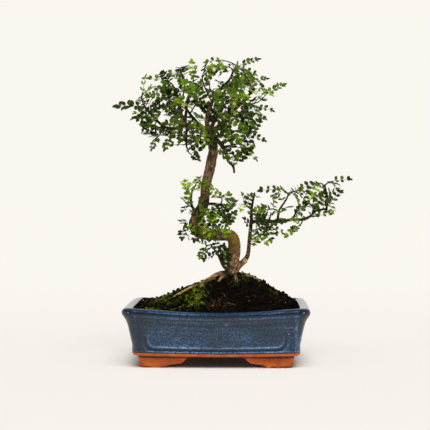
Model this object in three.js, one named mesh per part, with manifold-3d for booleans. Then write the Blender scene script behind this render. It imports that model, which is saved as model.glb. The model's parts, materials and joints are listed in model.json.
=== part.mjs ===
// Chinese pepper bonsai: a small tree with pinnate leaves in a glazed rectangular pot.
// Millimetres, +Z up, front towards -Y. Points are measured from the middle of the pot, on the
// surface that it stands on; the group at the end is moved to the bottom centre of the whole.
import * as THREE from "three";
import { mergeVertices } from "three/addons/utils/BufferGeometryUtils.js";
import Module from "manifold-3d";

const wasm = await Module();
wasm.setup();

// Gap that a piece keeps to the piece it rests on or is held by
const FIT_GAP = 0.3;

// Pot, measured over the rim at its corners and from the table to the top of the rim
const POT_LENGTH = 250;
const POT_DEPTH = 185;
const POT_HEIGHT = 80.5;
const SIDE_BOW = 3;
const FOOT_RING_BOTTOM = 16.4;
// Outside of the pot from the foot ring up and over the rim: inset from the rim, height, corner radius
const POT_PROFILE = [
  [16.6, FOOT_RING_BOTTOM, 14],
  [13.4, 18.2, 14],
  [12.9, 20.7, 13],
  [13.1, 28, 13],
  [11.3, 40, 13],
  [8.1, 54, 14],
  [5, 64, 14],
  [1.7, 69.6, 15],
  [0, 74.2, 15],
  [1.2, 77.8, 14],
  [5, POT_HEIGHT, 12],
];
// Inside of the pot: its edge below the rim's crown, and where the wall meets the floor
const INNER_TOP = 79.5;
const INNER_TOP_INSET = 14.5;
const FLOOR_TOP = 24;
const INNER_FLOOR_INSET = 24;
const INNER_CORNER = 5;

// Clay that sank between the feet while the pot was fired, more the higher up
const FIRING_SAG = 5.3;
const LEAST_SAG_SHARE = 0.25;
const SAG_POWER = 1.5;

// Feet, each a bracket of two arms round a corner, splayed out less at the table
const FOOT_TOP = 18.5;
const FOOT_INSET = 20;
const FOOT_THICK = 13;
const FOOT_SPLAY = 3;
const FOOT_CORNER = 9;
const FOOT_LONG = { base: 33.8, scroll: 34.2 };
const FOOT_SHORT = { base: 21, scroll: 23 };
// Scroll at the end of an arm: control points of two curves, as a share of its length and a height
const SCROLL_CURVES = [
  [[0.02, 3.4], [0.35, 4.8], [0.6, 5.9]],
  [[0.78, 6.8], [0.78, 13], [1, 15.3]],
];

// Drain holes in the floor, with a screen over each
const DRAIN_RADIUS = 8;
const DRAIN_SIDES = 14;
const DRAIN_SPACING = 112;
const SCREEN_SIZE = 28;
const SCREEN_THICK = 1;
const SCREEN_BAR = 1.6;
const SCREEN_CELLS = 2;

// Soil, heaped up to the foot of the tree and steeper on the left of it
const SOIL_EDGE = 76.5;
const SOIL_RISE = 48.8;
const SOIL_PEAK = new THREE.Vector2(22, 2);
const MOUND_SQUARENESS = 2.4;
const MOUND_FULLNESS = 1.3;
const MOUND_SKEW = 0.35;
const MOUND_SKEW_REACH = 30;
const LUMP_HEIGHT = 1.8;
const LUMP_WAVES = { x: 0.11, y: 0.13, fineX: 0.23, fineY: 0.19 };
const MOUND_RING_SHARES = [0.84, 0.66, 0.48, 0.3, 0.14];

// Wood: facets round a stem, and the radius of a leafy twig at its start and end
const TRUNK_SIDES = 9;
const LIMB_SIDES = 5;
const TWIG_SIDES = 3;
const TWIG_THICK = 1.4;
const TWIG_THIN = 1.1;
// How far a surface root starts below the soil, and how much of its radius it lies above it
const ROOT_START_DEPTH = 4;
const ROOT_LIFT_SHARE = 0.2;

// Leaves: a thin arched blade cut to the rib into leaflets. Shares are of the leaf's length.
const LEAF_THICK = 0.6;
const RIB_HALF_WIDTH = 0.4;
const PETIOLE_SHARE = 0.14;
const LEAFLET_SHARE = 0.25;
// A leaf longer than this has two pairs of leaflets, a shorter one has one pair
const LONG_LEAF = 36.5;
const PAIR_STEP_LONG = 0.285;
const PAIR_STEP_SHORT = 0.4;
// Corner and point of a leaflet, and shoulder of the end leaflet: how far along its part of the rib,
// and how far out as a share of the leaflet's length
const LEAFLET_CORNER = { along: 0.3, out: 0.85 };
const LEAFLET_POINT = { along: 1.02, out: 1 };
const END_SHOULDER = { along: 0.5, out: 0.42 };
// How far a blade goes out and folds up for each millimetre from the rib
const FOLD_OUT = 0.96;
const FOLD_UP = 0.28;

// Where leaves sit: the end leaf's sag, and for a side leaf its place, lean, length and sag
const END_LEAF_SAG = 0.1;
const SIDE_LEAF_LENGTH = 31;
const SIDE_LEAF_RANGE = { least: 0.88, more: 0.3, cramped: 0.72 };
const SIDE_LEAF_LEAN = { least: 0.75, more: 0.55 };
const SIDE_LEAF_SAG = { least: 0.1, more: 0.12 };
const MOST_SIDE_LEAVES = 4;
const LEAF_TRIES = 40;
const LEAF_CLEARANCE = 2.7;
const LEAF_STEP_FIRST = 1.8;
const LEAF_STEP_LEAST = 3.2;
const LEAF_STEP_SHARE = 0.22;
const LEAF_STEP_JITTER = 0.2;
const GOLDEN_ANGLE = 2.4;
// Upper faces look up, a little outward from the middle of the crown, and to the front
const FACE_OUTWARD = 0.5;
const FACE_FRONT = 0.35;
// How much of a twig starts inside the limb, and half the length of the spot that a leaf stalk grows from
const TWIG_HIDDEN = 4;
const STALK_FOOT = 0.9;
const SEED = 7;

const CROWN_CENTRE = new THREE.Vector3(-7.4, 0, 342);
const UP = new THREE.Vector3(0, 0, 1);
// A direction that no twig runs along, to measure round a twig from
const ROUND_FROM = new THREE.Vector3(0.2, 0.9, 0.3);

// Tiers of foliage: the outline seen from the front that side leaves stay in, and their size
const TIERS = {
  crown_spray: {
    size: 1,
    edge: [
      [-109, 368], [-106, 391], [-71, 399], [-49, 410], [-30, 420], [6, 420], [31, 412], [53, 403],
      [65, 389], [73, 369], [73, 348], [65, 334], [62, 306], [51, 288], [36, 268], [5, 266], [-17, 282],
      [-38, 297], [-55, 297], [-92, 297], [-108, 318], [-119, 334], [-121, 357],
    ],
  },
  middle_spray: {
    size: 0.8,
    edge: [
      [-51, 251], [-38, 257], [-20, 257], [-8, 244], [9, 241], [27, 225], [27, 204], [22, 180],
      [16, 168], [16, 129], [6, 129], [-5, 137], [-26, 137], [-27, 154], [-38, 164], [-52, 165],
      [-52, 204],
    ],
  },
  right_spray: {
    size: 0.85,
    edge: [
      [33, 236], [62, 241], [91, 237], [114, 243], [148, 248], [186, 254], [178, 230], [174, 215],
      [160, 201], [139, 191], [117, 186], [101, 172], [88, 172], [73, 157], [55, 153], [38, 154],
      [34, 187], [30, 212],
    ],
  },
};

// Materials
function material(color, roughness, metalness = 0) {
  return new THREE.MeshStandardMaterial({ color, roughness, metalness });
}
const GLAZE = material(0x4a5c74, 0.25);
const PLASTIC = material(0x2c2f2c, 0.6);
const EARTH = material(0x2b231a, 0.95);
const BARK = material(0x6f5638, 0.9);
const LEAF_GREEN = material(0x4c7a1e, 0.55);

// A closed geometry as a solid, its shared vertices merged
function solidOf(geometry) {
  const bare = geometry.clone();
  bare.deleteAttribute("normal");
  bare.deleteAttribute("uv");
  const merged = mergeVertices(bare, 1e-4);
  return new wasm.Manifold(
    new wasm.Mesh({
      numProp: 3,
      vertProperties: new Float32Array(merged.attributes.position.array),
      triVerts: new Uint32Array(merged.index.array),
    }),
  );
}

// The largest body of a solid, without the loose scraps that a cut can leave
function mainBody(solid) {
  const bodies = solid.decompose();
  return bodies.reduce((a, b) => (b.volume() > a.volume() ? b : a));
}

function meshOf(name, solid, look) {
  const { numProp, vertProperties, triVerts } = solid.getMesh();
  const positions = new Float32Array((vertProperties.length / numProp) * 3);
  for (let i = 0; i < positions.length / 3; i++) {
    positions.set(vertProperties.subarray(i * numProp, i * numProp + 3), i * 3);
  }
  const geometry = new THREE.BufferGeometry();
  geometry.setAttribute("position", new THREE.BufferAttribute(positions, 3));
  geometry.setIndex(new THREE.BufferAttribute(triVerts, 1));
  geometry.computeVertexNormals();
  const mesh = new THREE.Mesh(geometry, look);
  mesh.name = name;
  return mesh;
}

// A closed solid from points and triangles
function solidFrom(points, triangles) {
  const geometry = new THREE.BufferGeometry().setFromPoints(points);
  geometry.setIndex(triangles);
  return solidOf(geometry);
}

// Rings of points joined into a closed skin, with a fan over the first and the last
function loft(rings, firstCentre, lastCentre) {
  const count = rings[0].length;
  const points = [...rings.flat(), firstCentre, lastCentre];
  const first = points.length - 2;
  const last = points.length - 1;
  const triangles = [];
  for (let i = 0; i < count; i++) {
    const j = (i + 1) % count;
    triangles.push(first, j, i);
    for (let k = 0; k + 1 < rings.length; k++) {
      const low = k * count;
      const high = low + count;
      triangles.push(low + i, low + j, high + j);
      triangles.push(low + i, high + j, high + i);
    }
    const top = (rings.length - 1) * count;
    triangles.push(top + i, top + j, last);
  }
  return solidFrom(points, triangles);
}

// How far the clay sank at a height, where "across" is the share of the way from mid length to an end
function sagDepth(z, across) {
  const flatness = Math.max(0, 1 - across ** 2);
  return FIRING_SAG * Math.max(LEAST_SAG_SHARE, z / POT_HEIGHT) * flatness ** SAG_POWER;
}

// Pot outline at one level: a rectangle with round corners and slightly bowed sides, counter-clockwise
const CORNER_STEPS = 3;
const LONG_SIDE_STEPS = 4;
const SHORT_SIDE_STEPS = 2;
function outline(inset, z, cornerRadius, sagged = true) {
  const halfX = POT_LENGTH / 2 - inset;
  const halfY = POT_DEPTH / 2 - inset;
  const plan = [];
  const corners = [
    [1, -1, -90, SHORT_SIDE_STEPS],
    [1, 1, 0, LONG_SIDE_STEPS],
    [-1, 1, 90, SHORT_SIDE_STEPS],
    [-1, -1, 180, LONG_SIDE_STEPS],
  ];
  corners.forEach(([sx, sy, start, sideSteps], index) => {
    const centre = [sx * (halfX - cornerRadius), sy * (halfY - cornerRadius)];
    for (let k = 0; k <= CORNER_STEPS; k++) {
      const angle = THREE.MathUtils.degToRad(start + (90 * k) / CORNER_STEPS);
      plan.push([centre[0] + cornerRadius * Math.cos(angle), centre[1] + cornerRadius * Math.sin(angle)]);
    }
    const [nextX, nextY] = corners[(index + 1) % corners.length];
    const from = plan.at(-1);
    const to = sideSteps === SHORT_SIDE_STEPS ? [from[0], nextY * (halfY - cornerRadius)] :
      [nextX * (halfX - cornerRadius), from[1]];
    for (let k = 1; k < sideSteps; k++) {
      const share = k / sideSteps;
      plan.push([from[0] + (to[0] - from[0]) * share, from[1] + (to[1] - from[1]) * share]);
    }
  });
  return plan.map(([x, y]) => {
    const acrossX = 1 - (x / halfX) ** 2;
    const acrossY = 1 - (y / halfY) ** 2;
    const bowedX = x * (1 + (SIDE_BOW * 0.5 * acrossY) / halfX);
    const bowedY = y * (1 + (SIDE_BOW * acrossX) / halfY);
    return new THREE.Vector3(bowedX, bowedY, z - (sagged ? sagDepth(z, x / halfX) : 0));
  });
}

// A ring on the pot's inner wall, from the rim at share 0 to the floor at 1, set in by a gap
function innerWall(share, gap = 0) {
  const top = outline(INNER_TOP_INSET + gap, INNER_TOP, INNER_CORNER);
  const floor = outline(INNER_FLOOR_INSET + gap, FLOOR_TOP, INNER_CORNER, false);
  return top.map((point, i) => point.lerp(floor[i], share));
}

// Side of a foot's arm: flat on the table, then a scroll that rises to the foot ring
function footProfile({ base, scroll }) {
  const shape = new THREE.Shape();
  const heel = FOOT_SPLAY + base;
  shape.moveTo(0, FOOT_TOP);
  shape.lineTo(0, 0);
  shape.lineTo(heel, 0);
  for (const curve of SCROLL_CURVES) {
    shape.bezierCurveTo(...curve.flatMap(([share, z]) => [heel + share * scroll, z]));
  }
  shape.lineTo(heel + scroll, FOOT_TOP);
  shape.closePath();
  return shape;
}

function footArm(size) {
  const arm = new THREE.ExtrudeGeometry(footProfile(size), {
    depth: FOOT_THICK,
    bevelEnabled: false,
    curveSegments: 3,
  });
  return arm.rotateX(Math.PI / 2);
}

// One corner foot at the front left, made of an arm along X and an arm along Y
function cornerFoot() {
  const outer = [-(POT_LENGTH / 2 - FOOT_INSET), -(POT_DEPTH / 2 - FOOT_INSET)];
  const along = footArm(FOOT_LONG).translate(outer[0], outer[1] + FOOT_THICK, 0);
  const across = footArm(FOOT_SHORT).rotateZ(Math.PI / 2).translate(outer[0], outer[1], 0);
  return solidOf(along).add(solidOf(across));
}

// The room that the feet keep to, narrower at the table
function footRoom() {
  const low = outline(FOOT_INSET + FOOT_SPLAY, 0, FOOT_CORNER, false);
  const high = outline(FOOT_INSET, FOOT_TOP, FOOT_CORNER, false);
  return loft([low, high], new THREE.Vector3(0, 0, 0), new THREE.Vector3(0, 0, FOOT_TOP));
}

function buildPot() {
  const rings = POT_PROFILE.map(([inset, z, radius]) => outline(inset, z, radius));
  rings.push(innerWall(0), innerWall(1));
  const under = new THREE.Vector3(0, 0, FOOT_RING_BOTTOM - sagDepth(FOOT_RING_BOTTOM, 0));
  let pot = loft(rings, under, new THREE.Vector3(0, 0, FLOOR_TOP));
  const foot = cornerFoot().intersect(footRoom());
  for (const mirror of [[1, 1, 1], [-1, 1, 1], [1, -1, 1], [-1, -1, 1]]) {
    pot = pot.add(foot.scale(mirror));
  }
  for (const side of [-1, 1]) {
    const hole = new THREE.CylinderGeometry(DRAIN_RADIUS, DRAIN_RADIUS, 4 * FLOOR_TOP, DRAIN_SIDES);
    hole.rotateX(Math.PI / 2).translate((side * DRAIN_SPACING) / 2, 0, 0);
    pot = pot.subtract(solidOf(hole));
  }
  return pot;
}

// A square plastic screen of crossing bars over a drain hole
function buildScreen(side) {
  const pitch = (SCREEN_SIZE - SCREEN_BAR) / SCREEN_CELLS;
  const bars = [];
  for (let i = 0; i <= SCREEN_CELLS; i++) {
    const off = i * pitch - (SCREEN_SIZE - SCREEN_BAR) / 2;
    bars.push(solidOf(new THREE.BoxGeometry(SCREEN_SIZE, SCREEN_BAR, SCREEN_THICK).translate(0, off, 0)));
    bars.push(solidOf(new THREE.BoxGeometry(SCREEN_BAR, SCREEN_SIZE, SCREEN_THICK).translate(off, 0, 0)));
  }
  const height = FLOOR_TOP + FIT_GAP + SCREEN_THICK / 2;
  return wasm.Manifold.union(bars).translate([(side * DRAIN_SPACING) / 2, 0, height]);
}

// Height of the soil's surface: highest at the foot of the tree, down to the sagged wall at its edge
function moundHeight(x, y) {
  const dx = x - SOIL_PEAK.x;
  const dy = y - SOIL_PEAK.y;
  const halfX = POT_LENGTH / 2 - INNER_TOP_INSET;
  const halfY = POT_DEPTH / 2 - INNER_TOP_INSET;
  const outX = Math.abs(dx) / (halfX - Math.sign(dx) * SOIL_PEAK.x);
  const outY = Math.abs(dy) / (halfY - Math.sign(dy) * SOIL_PEAK.y);
  const out = (outX ** MOUND_SQUARENESS + outY ** MOUND_SQUARENESS) ** (1 / MOUND_SQUARENESS);
  const share = Math.min(1, out);
  const fullness = MOUND_FULLNESS + (MOUND_SKEW * dx) / (Math.abs(dx) + MOUND_SKEW_REACH);
  const coarse = Math.sin(x * LUMP_WAVES.x + 1) * Math.cos(y * LUMP_WAVES.y);
  const fine = Math.sin(x * LUMP_WAVES.fineX - y * LUMP_WAVES.fineY);
  const lumps = LUMP_HEIGHT * (coarse + 0.5 * fine) * (1 - share);
  const settled = sagDepth(SOIL_EDGE, x / halfX) * share ** 2;
  return SOIL_EDGE + SOIL_RISE * (1 - share ** fullness) + lumps - settled;
}

function buildSoil(stems) {
  const edge = innerWall((INNER_TOP - SOIL_EDGE) / (INNER_TOP - FLOOR_TOP), FIT_GAP);
  const surface = MOUND_RING_SHARES.map((share) =>
    edge.map((point) => {
      const x = SOIL_PEAK.x + (point.x - SOIL_PEAK.x) * share;
      const y = SOIL_PEAK.y + (point.y - SOIL_PEAK.y) * share;
      return new THREE.Vector3(x, y, moundHeight(x, y));
    }),
  );
  const floor = innerWall(1, FIT_GAP).map((point) => point.addScaledVector(UP, FIT_GAP));
  const floorCentre = new THREE.Vector3(0, 0, FLOOR_TOP + FIT_GAP);
  const peak = new THREE.Vector3(SOIL_PEAK.x, SOIL_PEAK.y, SOIL_EDGE + SOIL_RISE);
  let soil = loft([floor, edge, ...surface], floorCentre, peak);
  for (const side of [-1, 1]) {
    const room = SCREEN_SIZE + 2 * FIT_GAP;
    const recess = new THREE.BoxGeometry(room, room, 2 * (SCREEN_THICK + FIT_GAP));
    recess.translate((side * DRAIN_SPACING) / 2, 0, FLOOR_TOP + FIT_GAP);
    soil = soil.subtract(solidOf(recess));
  }
  for (const stem of stems) {
    soil = soil.subtract(stem);
  }
  return mainBody(soil);
}

function vectorOf([x, y, z]) {
  return new THREE.Vector3(x, y, z);
}

function curveThrough(points) {
  return new THREE.CatmullRomCurve3(points.map(vectorOf), false, "catmullrom", 0.5);
}

// Radius at a share of the way along a stem of [x, y, z, radius] points
function radiusAt(stem, t) {
  const spans = stem.length - 1;
  const index = Math.min(spans - 1, Math.floor(t * spans));
  return THREE.MathUtils.lerp(stem[index][3], stem[index + 1][3], t * spans - index);
}

// A ring of points round a place on a stem
function ringAround(place, first, second, radius, sides) {
  return Array.from({ length: sides }, (_, i) => {
    const angle = (i / sides) * 2 * Math.PI;
    return place.clone()
      .addScaledVector(first, radius * Math.cos(angle))
      .addScaledVector(second, radius * Math.sin(angle));
  });
}

// A bent stem: [x, y, z, radius] at each point, faceted round, closed at both ends
function stemSolid(stem, sides, grown = 0) {
  const curve = curveThrough(stem);
  const spans = stem.length - 1;
  const rings = [];
  let sideways = null;
  for (let k = 0; k <= spans; k++) {
    const tangent = curve.getTangent(k / spans);
    if (!sideways) {
      sideways = new THREE.Vector3(0, 1, 0).cross(tangent);
      if (sideways.length() < 0.3) sideways = new THREE.Vector3(1, 0, 0);
    }
    sideways.addScaledVector(tangent, -sideways.dot(tangent)).normalize();
    const third = tangent.clone().cross(sideways);
    const radius = radiusAt(stem, k / spans) + grown;
    rings.push(ringAround(curve.getPoint(k / spans), sideways, third, radius, sides));
  }
  return loft(rings, curve.getPoint(0), curve.getPoint(1));
}

// Trunk, from the butt in the soil over its two bends to the top: x, y, z, radius
const TRUNK = [
  [17.9, 5, 55.6, 9.1], [18.9, 4.5, 89, 11.1], [19.9, 4, 116.3, 11.7], [20.4, 4, 125.4, 9.7],
  [22, 3, 138, 8.1], [23.4, 2, 152.4, 8.8], [23.2, 0, 165.8, 8.7], [17.4, -3, 174.3, 8.1],
  [3.8, -5, 175.4, 7.9], [-12.4, -5, 175.6, 7.7], [-25.1, -4, 178.4, 7.8], [-32, -2, 188, 7.9],
  [-28.7, 0, 199.7, 8.3], [-22.1, 1, 210.8, 8.1], [-18, 2, 224.5, 7.1], [-16.5, 3, 242.5, 6.5],
  [-12.7, 2, 258, 7], [-9, 1, 274.2, 7], [-5.8, 0, 292.4, 6.8], [-8.4, 0, 308.6, 6.7],
  [-13, 0, 320.2, 4.7],
];

// Limbs that are one piece with the trunk, each from the wood that carries it to its tip
const LIMBS = [
  [[-10.4, 0, 314.7, 4.7], [-17.5, -2, 321.2, 4.3], [-28.6, -5, 325.1, 3.8], [-44.8, -8, 326.4, 3.2],
    [-48.4, -8, 337.6, 2.7], [-51.9, -8, 347.7, 2.4], [-53.4, -10, 358.8, 2], [-57.9, -14, 377.7, 1.4]],
  [[-51.9, -8, 347.7, 2], [-49.9, -5, 358, 1.6], [-46.5, -1, 372.5, 1.2]],
  [[-44.8, -8, 326.4, 2.8], [-43.3, -10, 340.5, 2.2], [-41.2, -13, 355.5, 1.8], [-35.6, -16, 374.5, 1.2]],
  [[-44.8, -8, 326.4, 2.8], [-59.1, -3, 322.2, 2.4], [-73.4, 2, 325, 2.1], [-85.7, 4, 335.3, 1.8],
    [-98.9, 4, 350.1, 1.5], [-104, 4, 359.7, 1.2]],
  [[-41.8, -8, 326.4, 2], [-42.5, -10, 310.1, 1.7], [-42.3, -10, 296, 1.4]],
  [[-11.5, 0, 314.7, 4.5], [1.7, 4, 325, 3.9], [13.9, 6, 338.3, 3.2], [24.5, 6, 349.4, 2.6],
    [38.2, 3, 363.4, 2], [51.4, 0, 378.4, 1.4]],
  [[13.9, 6, 338.3, 2.2], [16.9, 2, 352.3, 1.7], [26.9, -4, 369.1, 1.2]],
  [[-8.4, -2, 317.6, 3.4], [2.1, -8, 303.7, 2.9], [10.9, -11, 290.8, 2.5], [15, -12, 277.6, 2.2],
    [22.1, -12, 269.5, 1.9], [23.5, -12, 260.4, 1.5]],
  [[6.9, -10, 296.9, 1.8], [15, -15, 297.2, 1.5], [23.1, -19, 299.5, 1.1]],
  [[-12.5, 0, 317.7, 3.9], [-14.5, 2, 337.1, 3.2], [-8.5, 4, 357.5, 2.7], [2.7, 4, 375.8, 2.2],
    [16.3, 3, 389.9, 1.7], [23, 2, 405, 1.2]],
  [[-10.5, 2, 315.8, 3.5], [-6.6, 24, 330.2, 2.7], [-0.6, 42, 345.5, 2], [5.4, 57, 362.8, 1.3]],
  [[-20.6, 0, 322.8, 3], [-31, 18, 334, 2.4], [-41.5, 36, 347.3, 1.9], [-49.9, 49, 362.4, 1.3]],
  [[-10.4, -2, 316.6, 3.2], [-6.2, -22, 327.6, 2.4], [2, -38, 338.8, 1.9], [10.2, -51, 352.1, 1.3]],
  [[-28.6, -5, 325.1, 2.6], [-32.4, -24, 333.6, 2], [-39.2, -41, 345.7, 1.3]],
  [[21, 2, 120.3, 5.6], [29.1, 0, 130.9, 4.7], [37.2, 0, 139, 3.8], [42, 0, 146.6, 3],
    [43.7, 0, 158.7, 2.7], [45.2, 1, 175.9, 2.6], [47.1, 2, 194.1, 2.5], [47.5, 3, 211.4, 2],
    [51.6, 4, 233.7, 1.4]],
  [[46.9, 2, 192.1, 2.6], [60.1, -2, 195.2, 2.5], [83.4, -4, 193.2, 2.4], [101.9, -2, 196, 2.3],
    [118.1, 0, 196.5, 2.1], [129.3, 2, 201.2, 1.9], [136.9, 2, 208.3, 1.7], [151.5, 2, 211.3, 1.5]],
  [[151.1, 2, 205.2, 1.5], [151.9, 2, 218.8, 1.7], [151.8, 3, 229.5, 1.6], [148.6, 4, 244.8, 1.3]],
  [[83.4, -4, 193.2, 2], [85.7, -4, 209.1, 1.6], [94.8, -5, 223.2, 1.4], [99.4, -6, 234.3, 1.1]],
  [[101.9, -2, 196, 1.9], [107.2, 13, 201.5, 1.5], [111.4, 27, 211.1, 1.1]],
  [[-26.7, 0, 202.2, 2.6], [-35.7, -5, 216.2, 2], [-35.7, -8, 231.3, 1.7], [-32.8, -9, 240.6, 1.2]],
  [[-18.6, 2, 217.5, 2.4], [-6.3, -7, 218.2, 1.9], [4.8, -10, 216, 1.6], [15, -10, 209, 1.1]],
  [[-30.7, -2, 184.9, 2.2], [-43.8, -6, 185.9, 1.7], [-43.9, -8, 192.3, 1.2]],
  [[17.9, -2, 124.3, 3], [8.9, -15, 132.2, 2.1], [1.4, -18, 148.2, 1.7], [-8.2, -18, 161.3, 1.1]],
];

// Surface roots: plan points and radii, lying half sunk in the soil as it falls away
const ROOTS = [
  [[19.9, 2, 6], [1.8, -7, 3.6], [-18.4, -14, 2.8], [-39.5, -20, 2.4], [-59.5, -28, 1.8]],
  [[17.9, -2, 4.5], [7.9, -13, 2.6], [0.9, -22, 2]],
  [[22, -3, 4.5], [25.1, -16, 2.6], [27.1, -28, 2]],
  [[24, 3, 5], [42.2, -4, 3], [58.4, -12, 2]],
  [[18.9, 8, 5], [10.7, 27, 3], [5.4, 46, 2]],
];
function rootPoints(root) {
  return root.map(([x, y, radius], index) => {
    const lift = index ? ROOT_LIFT_SHARE * radius : -ROOT_START_DEPTH;
    return [x, y, moundHeight(x, y) + lift, radius];
  });
}

// Leafy shoots. Each twig runs through its points, and the last leaf reaches from there to the tip.
// "leaves" is how many more leaves grow from the sides of the twig.
const SHOOTS = {
  crown_spray: [
    {
      twig: [[-91.8, 4, 342.4], [-97.7, -2, 348.2], [-102.8, -4, 353.1]],
      tip: [-145.8, -6, 352.5],
      leaves: 4,
    },
    {
      twig: [[-103.6, 4, 358.7], [-106.1, 7, 366], [-105.2, 9, 372.2]],
      tip: [-100.1, 10, 398.8],
      leaves: 2,
    },
    {
      twig: [[-57.4, -13.5, 375.8], [-62.9, -14.5, 383.8], [-69, -15, 386.8]],
      tip: [-98.4, -16, 390.9],
      leaves: 2,
    },
    {
      twig: [[-46.8, -1.5, 371.4], [-44.9, -4, 387.5], [-49.9, -6, 398.5]],
      tip: [-80.3, -10, 396.8],
      leaves: 4,
    },
    {
      twig: [[-84.7, 4, 334.8], [-89.5, -4, 337.9], [-92.4, -10, 341.6]],
      tip: [-121, -14, 333.4],
      leaves: 2,
    },
    {
      twig: [[-81.6, 3.5, 331.7], [-87.9, 11, 333.7], [-93.1, 15, 332.9]],
      tip: [-107.5, 20, 316.9],
      leaves: 2,
    },
    { twig: [[-73.4, 2, 325], [-79.4, -3, 314.6], [-83.4, -5, 309.4]], tip: [-91.4, -8, 291.6], leaves: 2 },
    {
      twig: [[-63.2, -1.5, 322.8], [-64, -10, 314.2], [-64.9, -14, 308.9]],
      tip: [-72.9, -20, 290.5],
      leaves: 4,
    },
    {
      twig: [[-36.2, -15.8, 372.5], [-33.6, -12, 383.9], [-32.6, -10, 393.2]],
      tip: [-35.7, -8, 417.6],
      leaves: 4,
    },
    {
      twig: [[48.4, 0.7, 374.9], [41.8, -3, 390.4], [34.2, -4, 402.5], [20, -3, 412.8], [5.8, -2, 417]],
      tip: [-20.6, 0, 413.1],
      leaves: 4,
    },
    {
      twig: [[-7.4, 4, 358.5], [-15.4, -6, 375.1], [-20.4, -12, 390], [-18.4, -15, 399.9]],
      tip: [15, -20, 405.5],
      leaves: 4,
    },
    { twig: [[20, 2.4, 399], [26.1, 8, 405.5], [31.1, 10, 410.7]], tip: [60.9, 12, 419.9], leaves: 3 },
    { twig: [[44.3, 2, 371], [49.4, 12, 380.3], [52.5, 14, 388.5]], tip: [70.8, 16, 392.7], leaves: 2 },
    { twig: [[38.2, 3, 363.4], [47.4, -8, 370.8], [53.4, -12, 376.6]], tip: [78.9, -16, 364.5], leaves: 2 },
    {
      twig: [[31.1, 4.5, 356.4], [44.3, 10, 356.8], [56.5, 12, 359.9], [68.7, 12, 371.1]],
      tip: [96.2, 12, 385.2],
      leaves: 3,
    },
    { twig: [[34.2, 4, 359.5], [44.3, -4, 355.9], [54.3, -8, 352.6]], tip: [79.7, -12, 344.2], leaves: 4 },
    { twig: [[22, 6, 346.9], [35.2, -4, 343.8], [45.8, -8, 341]], tip: [68.6, -14, 333.5], leaves: 4 },
    { twig: [[15.9, 6, 340.3], [30.1, 14, 339.7], [40.3, 17, 338.9]], tip: [52.5, 20, 320.7], leaves: 3 },
    {
      twig: [[1.7, 4, 325], [20, 7, 320.1], [35.2, 5, 315.9], [45, 3, 313.2]],
      tip: [68.6, 0, 303.9],
      leaves: 4,
    },
    {
      twig: [[22.1, -18.6, 299.2], [31.2, -20.5, 300.4], [37.2, -22, 296.3]],
      tip: [56.4, -24, 275],
      leaves: 2,
    },
    {
      twig: [[-42.3, -10, 297], [-39.7, -12.5, 289.8], [-34.6, -14, 284.6]],
      tip: [-24.7, -20, 278.3],
      leaves: 4,
    },
    {
      twig: [[10.2, -50.5, 351.1], [17.2, -54.5, 355.8], [25.3, -57, 356.7]],
      tip: [48.3, -62, 348.3],
      leaves: 4,
    },
    { twig: [[2, -38, 338.8], [9.1, -44, 329.4], [12.2, -46, 324.2]], tip: [24.2, -54, 303.7], leaves: 4 },
    {
      twig: [[-6.2, -22, 327.6], [-11.1, -32, 321], [-13.1, -36, 315.8]],
      tip: [-18, -44, 292.2],
      leaves: 4,
    },
    {
      twig: [[-38.7, -40, 344.8], [-46.2, -45.5, 349.5], [-53.1, -48, 351.4]],
      tip: [-76.2, -52, 349.1],
      leaves: 4,
    },
    {
      twig: [[-32.4, -24, 333.6], [-42.3, -33, 326.1], [-47.3, -36, 322.9]],
      tip: [-64.3, -44, 304.4],
      leaves: 4,
    },
    {
      twig: [[-36.3, -35, 341], [-29.1, -43, 351.6], [-25, -45, 361.5]],
      tip: [-19.9, -52, 386.2],
      leaves: 4,
    },
    { twig: [[2.7, 4, 375.8], [13, -12, 377.7], [19.1, -20, 380.2]], tip: [42.3, -34, 383.3], leaves: 4 },
    {
      twig: [[-53.4, -10, 358.8], [-61.8, -18, 358.3], [-68.8, -22, 361.1]],
      tip: [-99, -30, 366.7],
      leaves: 4,
    },
    { twig: [[4.4, 54, 360.6], [11.5, 62, 368.2], [17.7, 65, 371.5]], tip: [42.3, 72, 371.9], leaves: 3 },
    { twig: [[-2.7, 38, 342.2], [11.6, 47, 339.6], [19.8, 50, 336.7]], tip: [42.3, 56, 317.6], leaves: 3 },
    {
      twig: [[-8.6, 18, 326.8], [-16.9, 31, 325.5], [-23.1, 38, 320.8]],
      tip: [-41.7, 52, 301.1],
      leaves: 3,
    },
    {
      twig: [[-47.8, 46, 359.2], [-57.2, 54, 365.8], [-64.4, 57, 368.1]],
      tip: [-89.3, 64, 365.5],
      leaves: 3,
    },
    {
      twig: [[-36.2, 27, 340.6], [-51.7, 33, 340], [-59.9, 36, 337.1]],
      tip: [-84.6, 44, 321.2],
      leaves: 3,
    },
    { twig: [[-3.9, 4, 365.6], [-10.7, 22, 379], [-12.8, 32, 387.8]], tip: [-19.1, 46, 413.4], leaves: 3 },
    { twig: [[5.8, 4, 378.8], [19.9, 20, 385.9], [28, 28, 389.5]], tip: [54.6, 42, 394.5], leaves: 3 },
  ],
  middle_spray: [
    {
      twig: [[-32.6, -9, 239.5], [-29.3, -10.5, 244.8], [-27.8, -12, 248.9]],
      tip: [-22.2, -30, 254.9],
      leaves: 3,
    },
    {
      twig: [[-35.2, -7.6, 230], [-38.9, -11, 233.7], [-41.6, -13, 237.2]],
      tip: [-48.2, -30, 246.7],
      leaves: 3,
    },
    {
      twig: [[-33.4, -4, 213.9], [-38.4, -8, 215.1], [-41.7, -11, 217.9]],
      tip: [-48.4, -27, 224.9],
      leaves: 3,
    },
    { twig: [[5, -10, 216.9], [6.7, -13, 223.4], [6, -15, 227.6]], tip: [-1.8, -30, 239.2], leaves: 3 },
    { twig: [[13, -10, 211.4], [17.6, -9, 210.1], [21.1, -9, 211.7]], tip: [27.4, -22, 222.8], leaves: 3 },
    {
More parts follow.
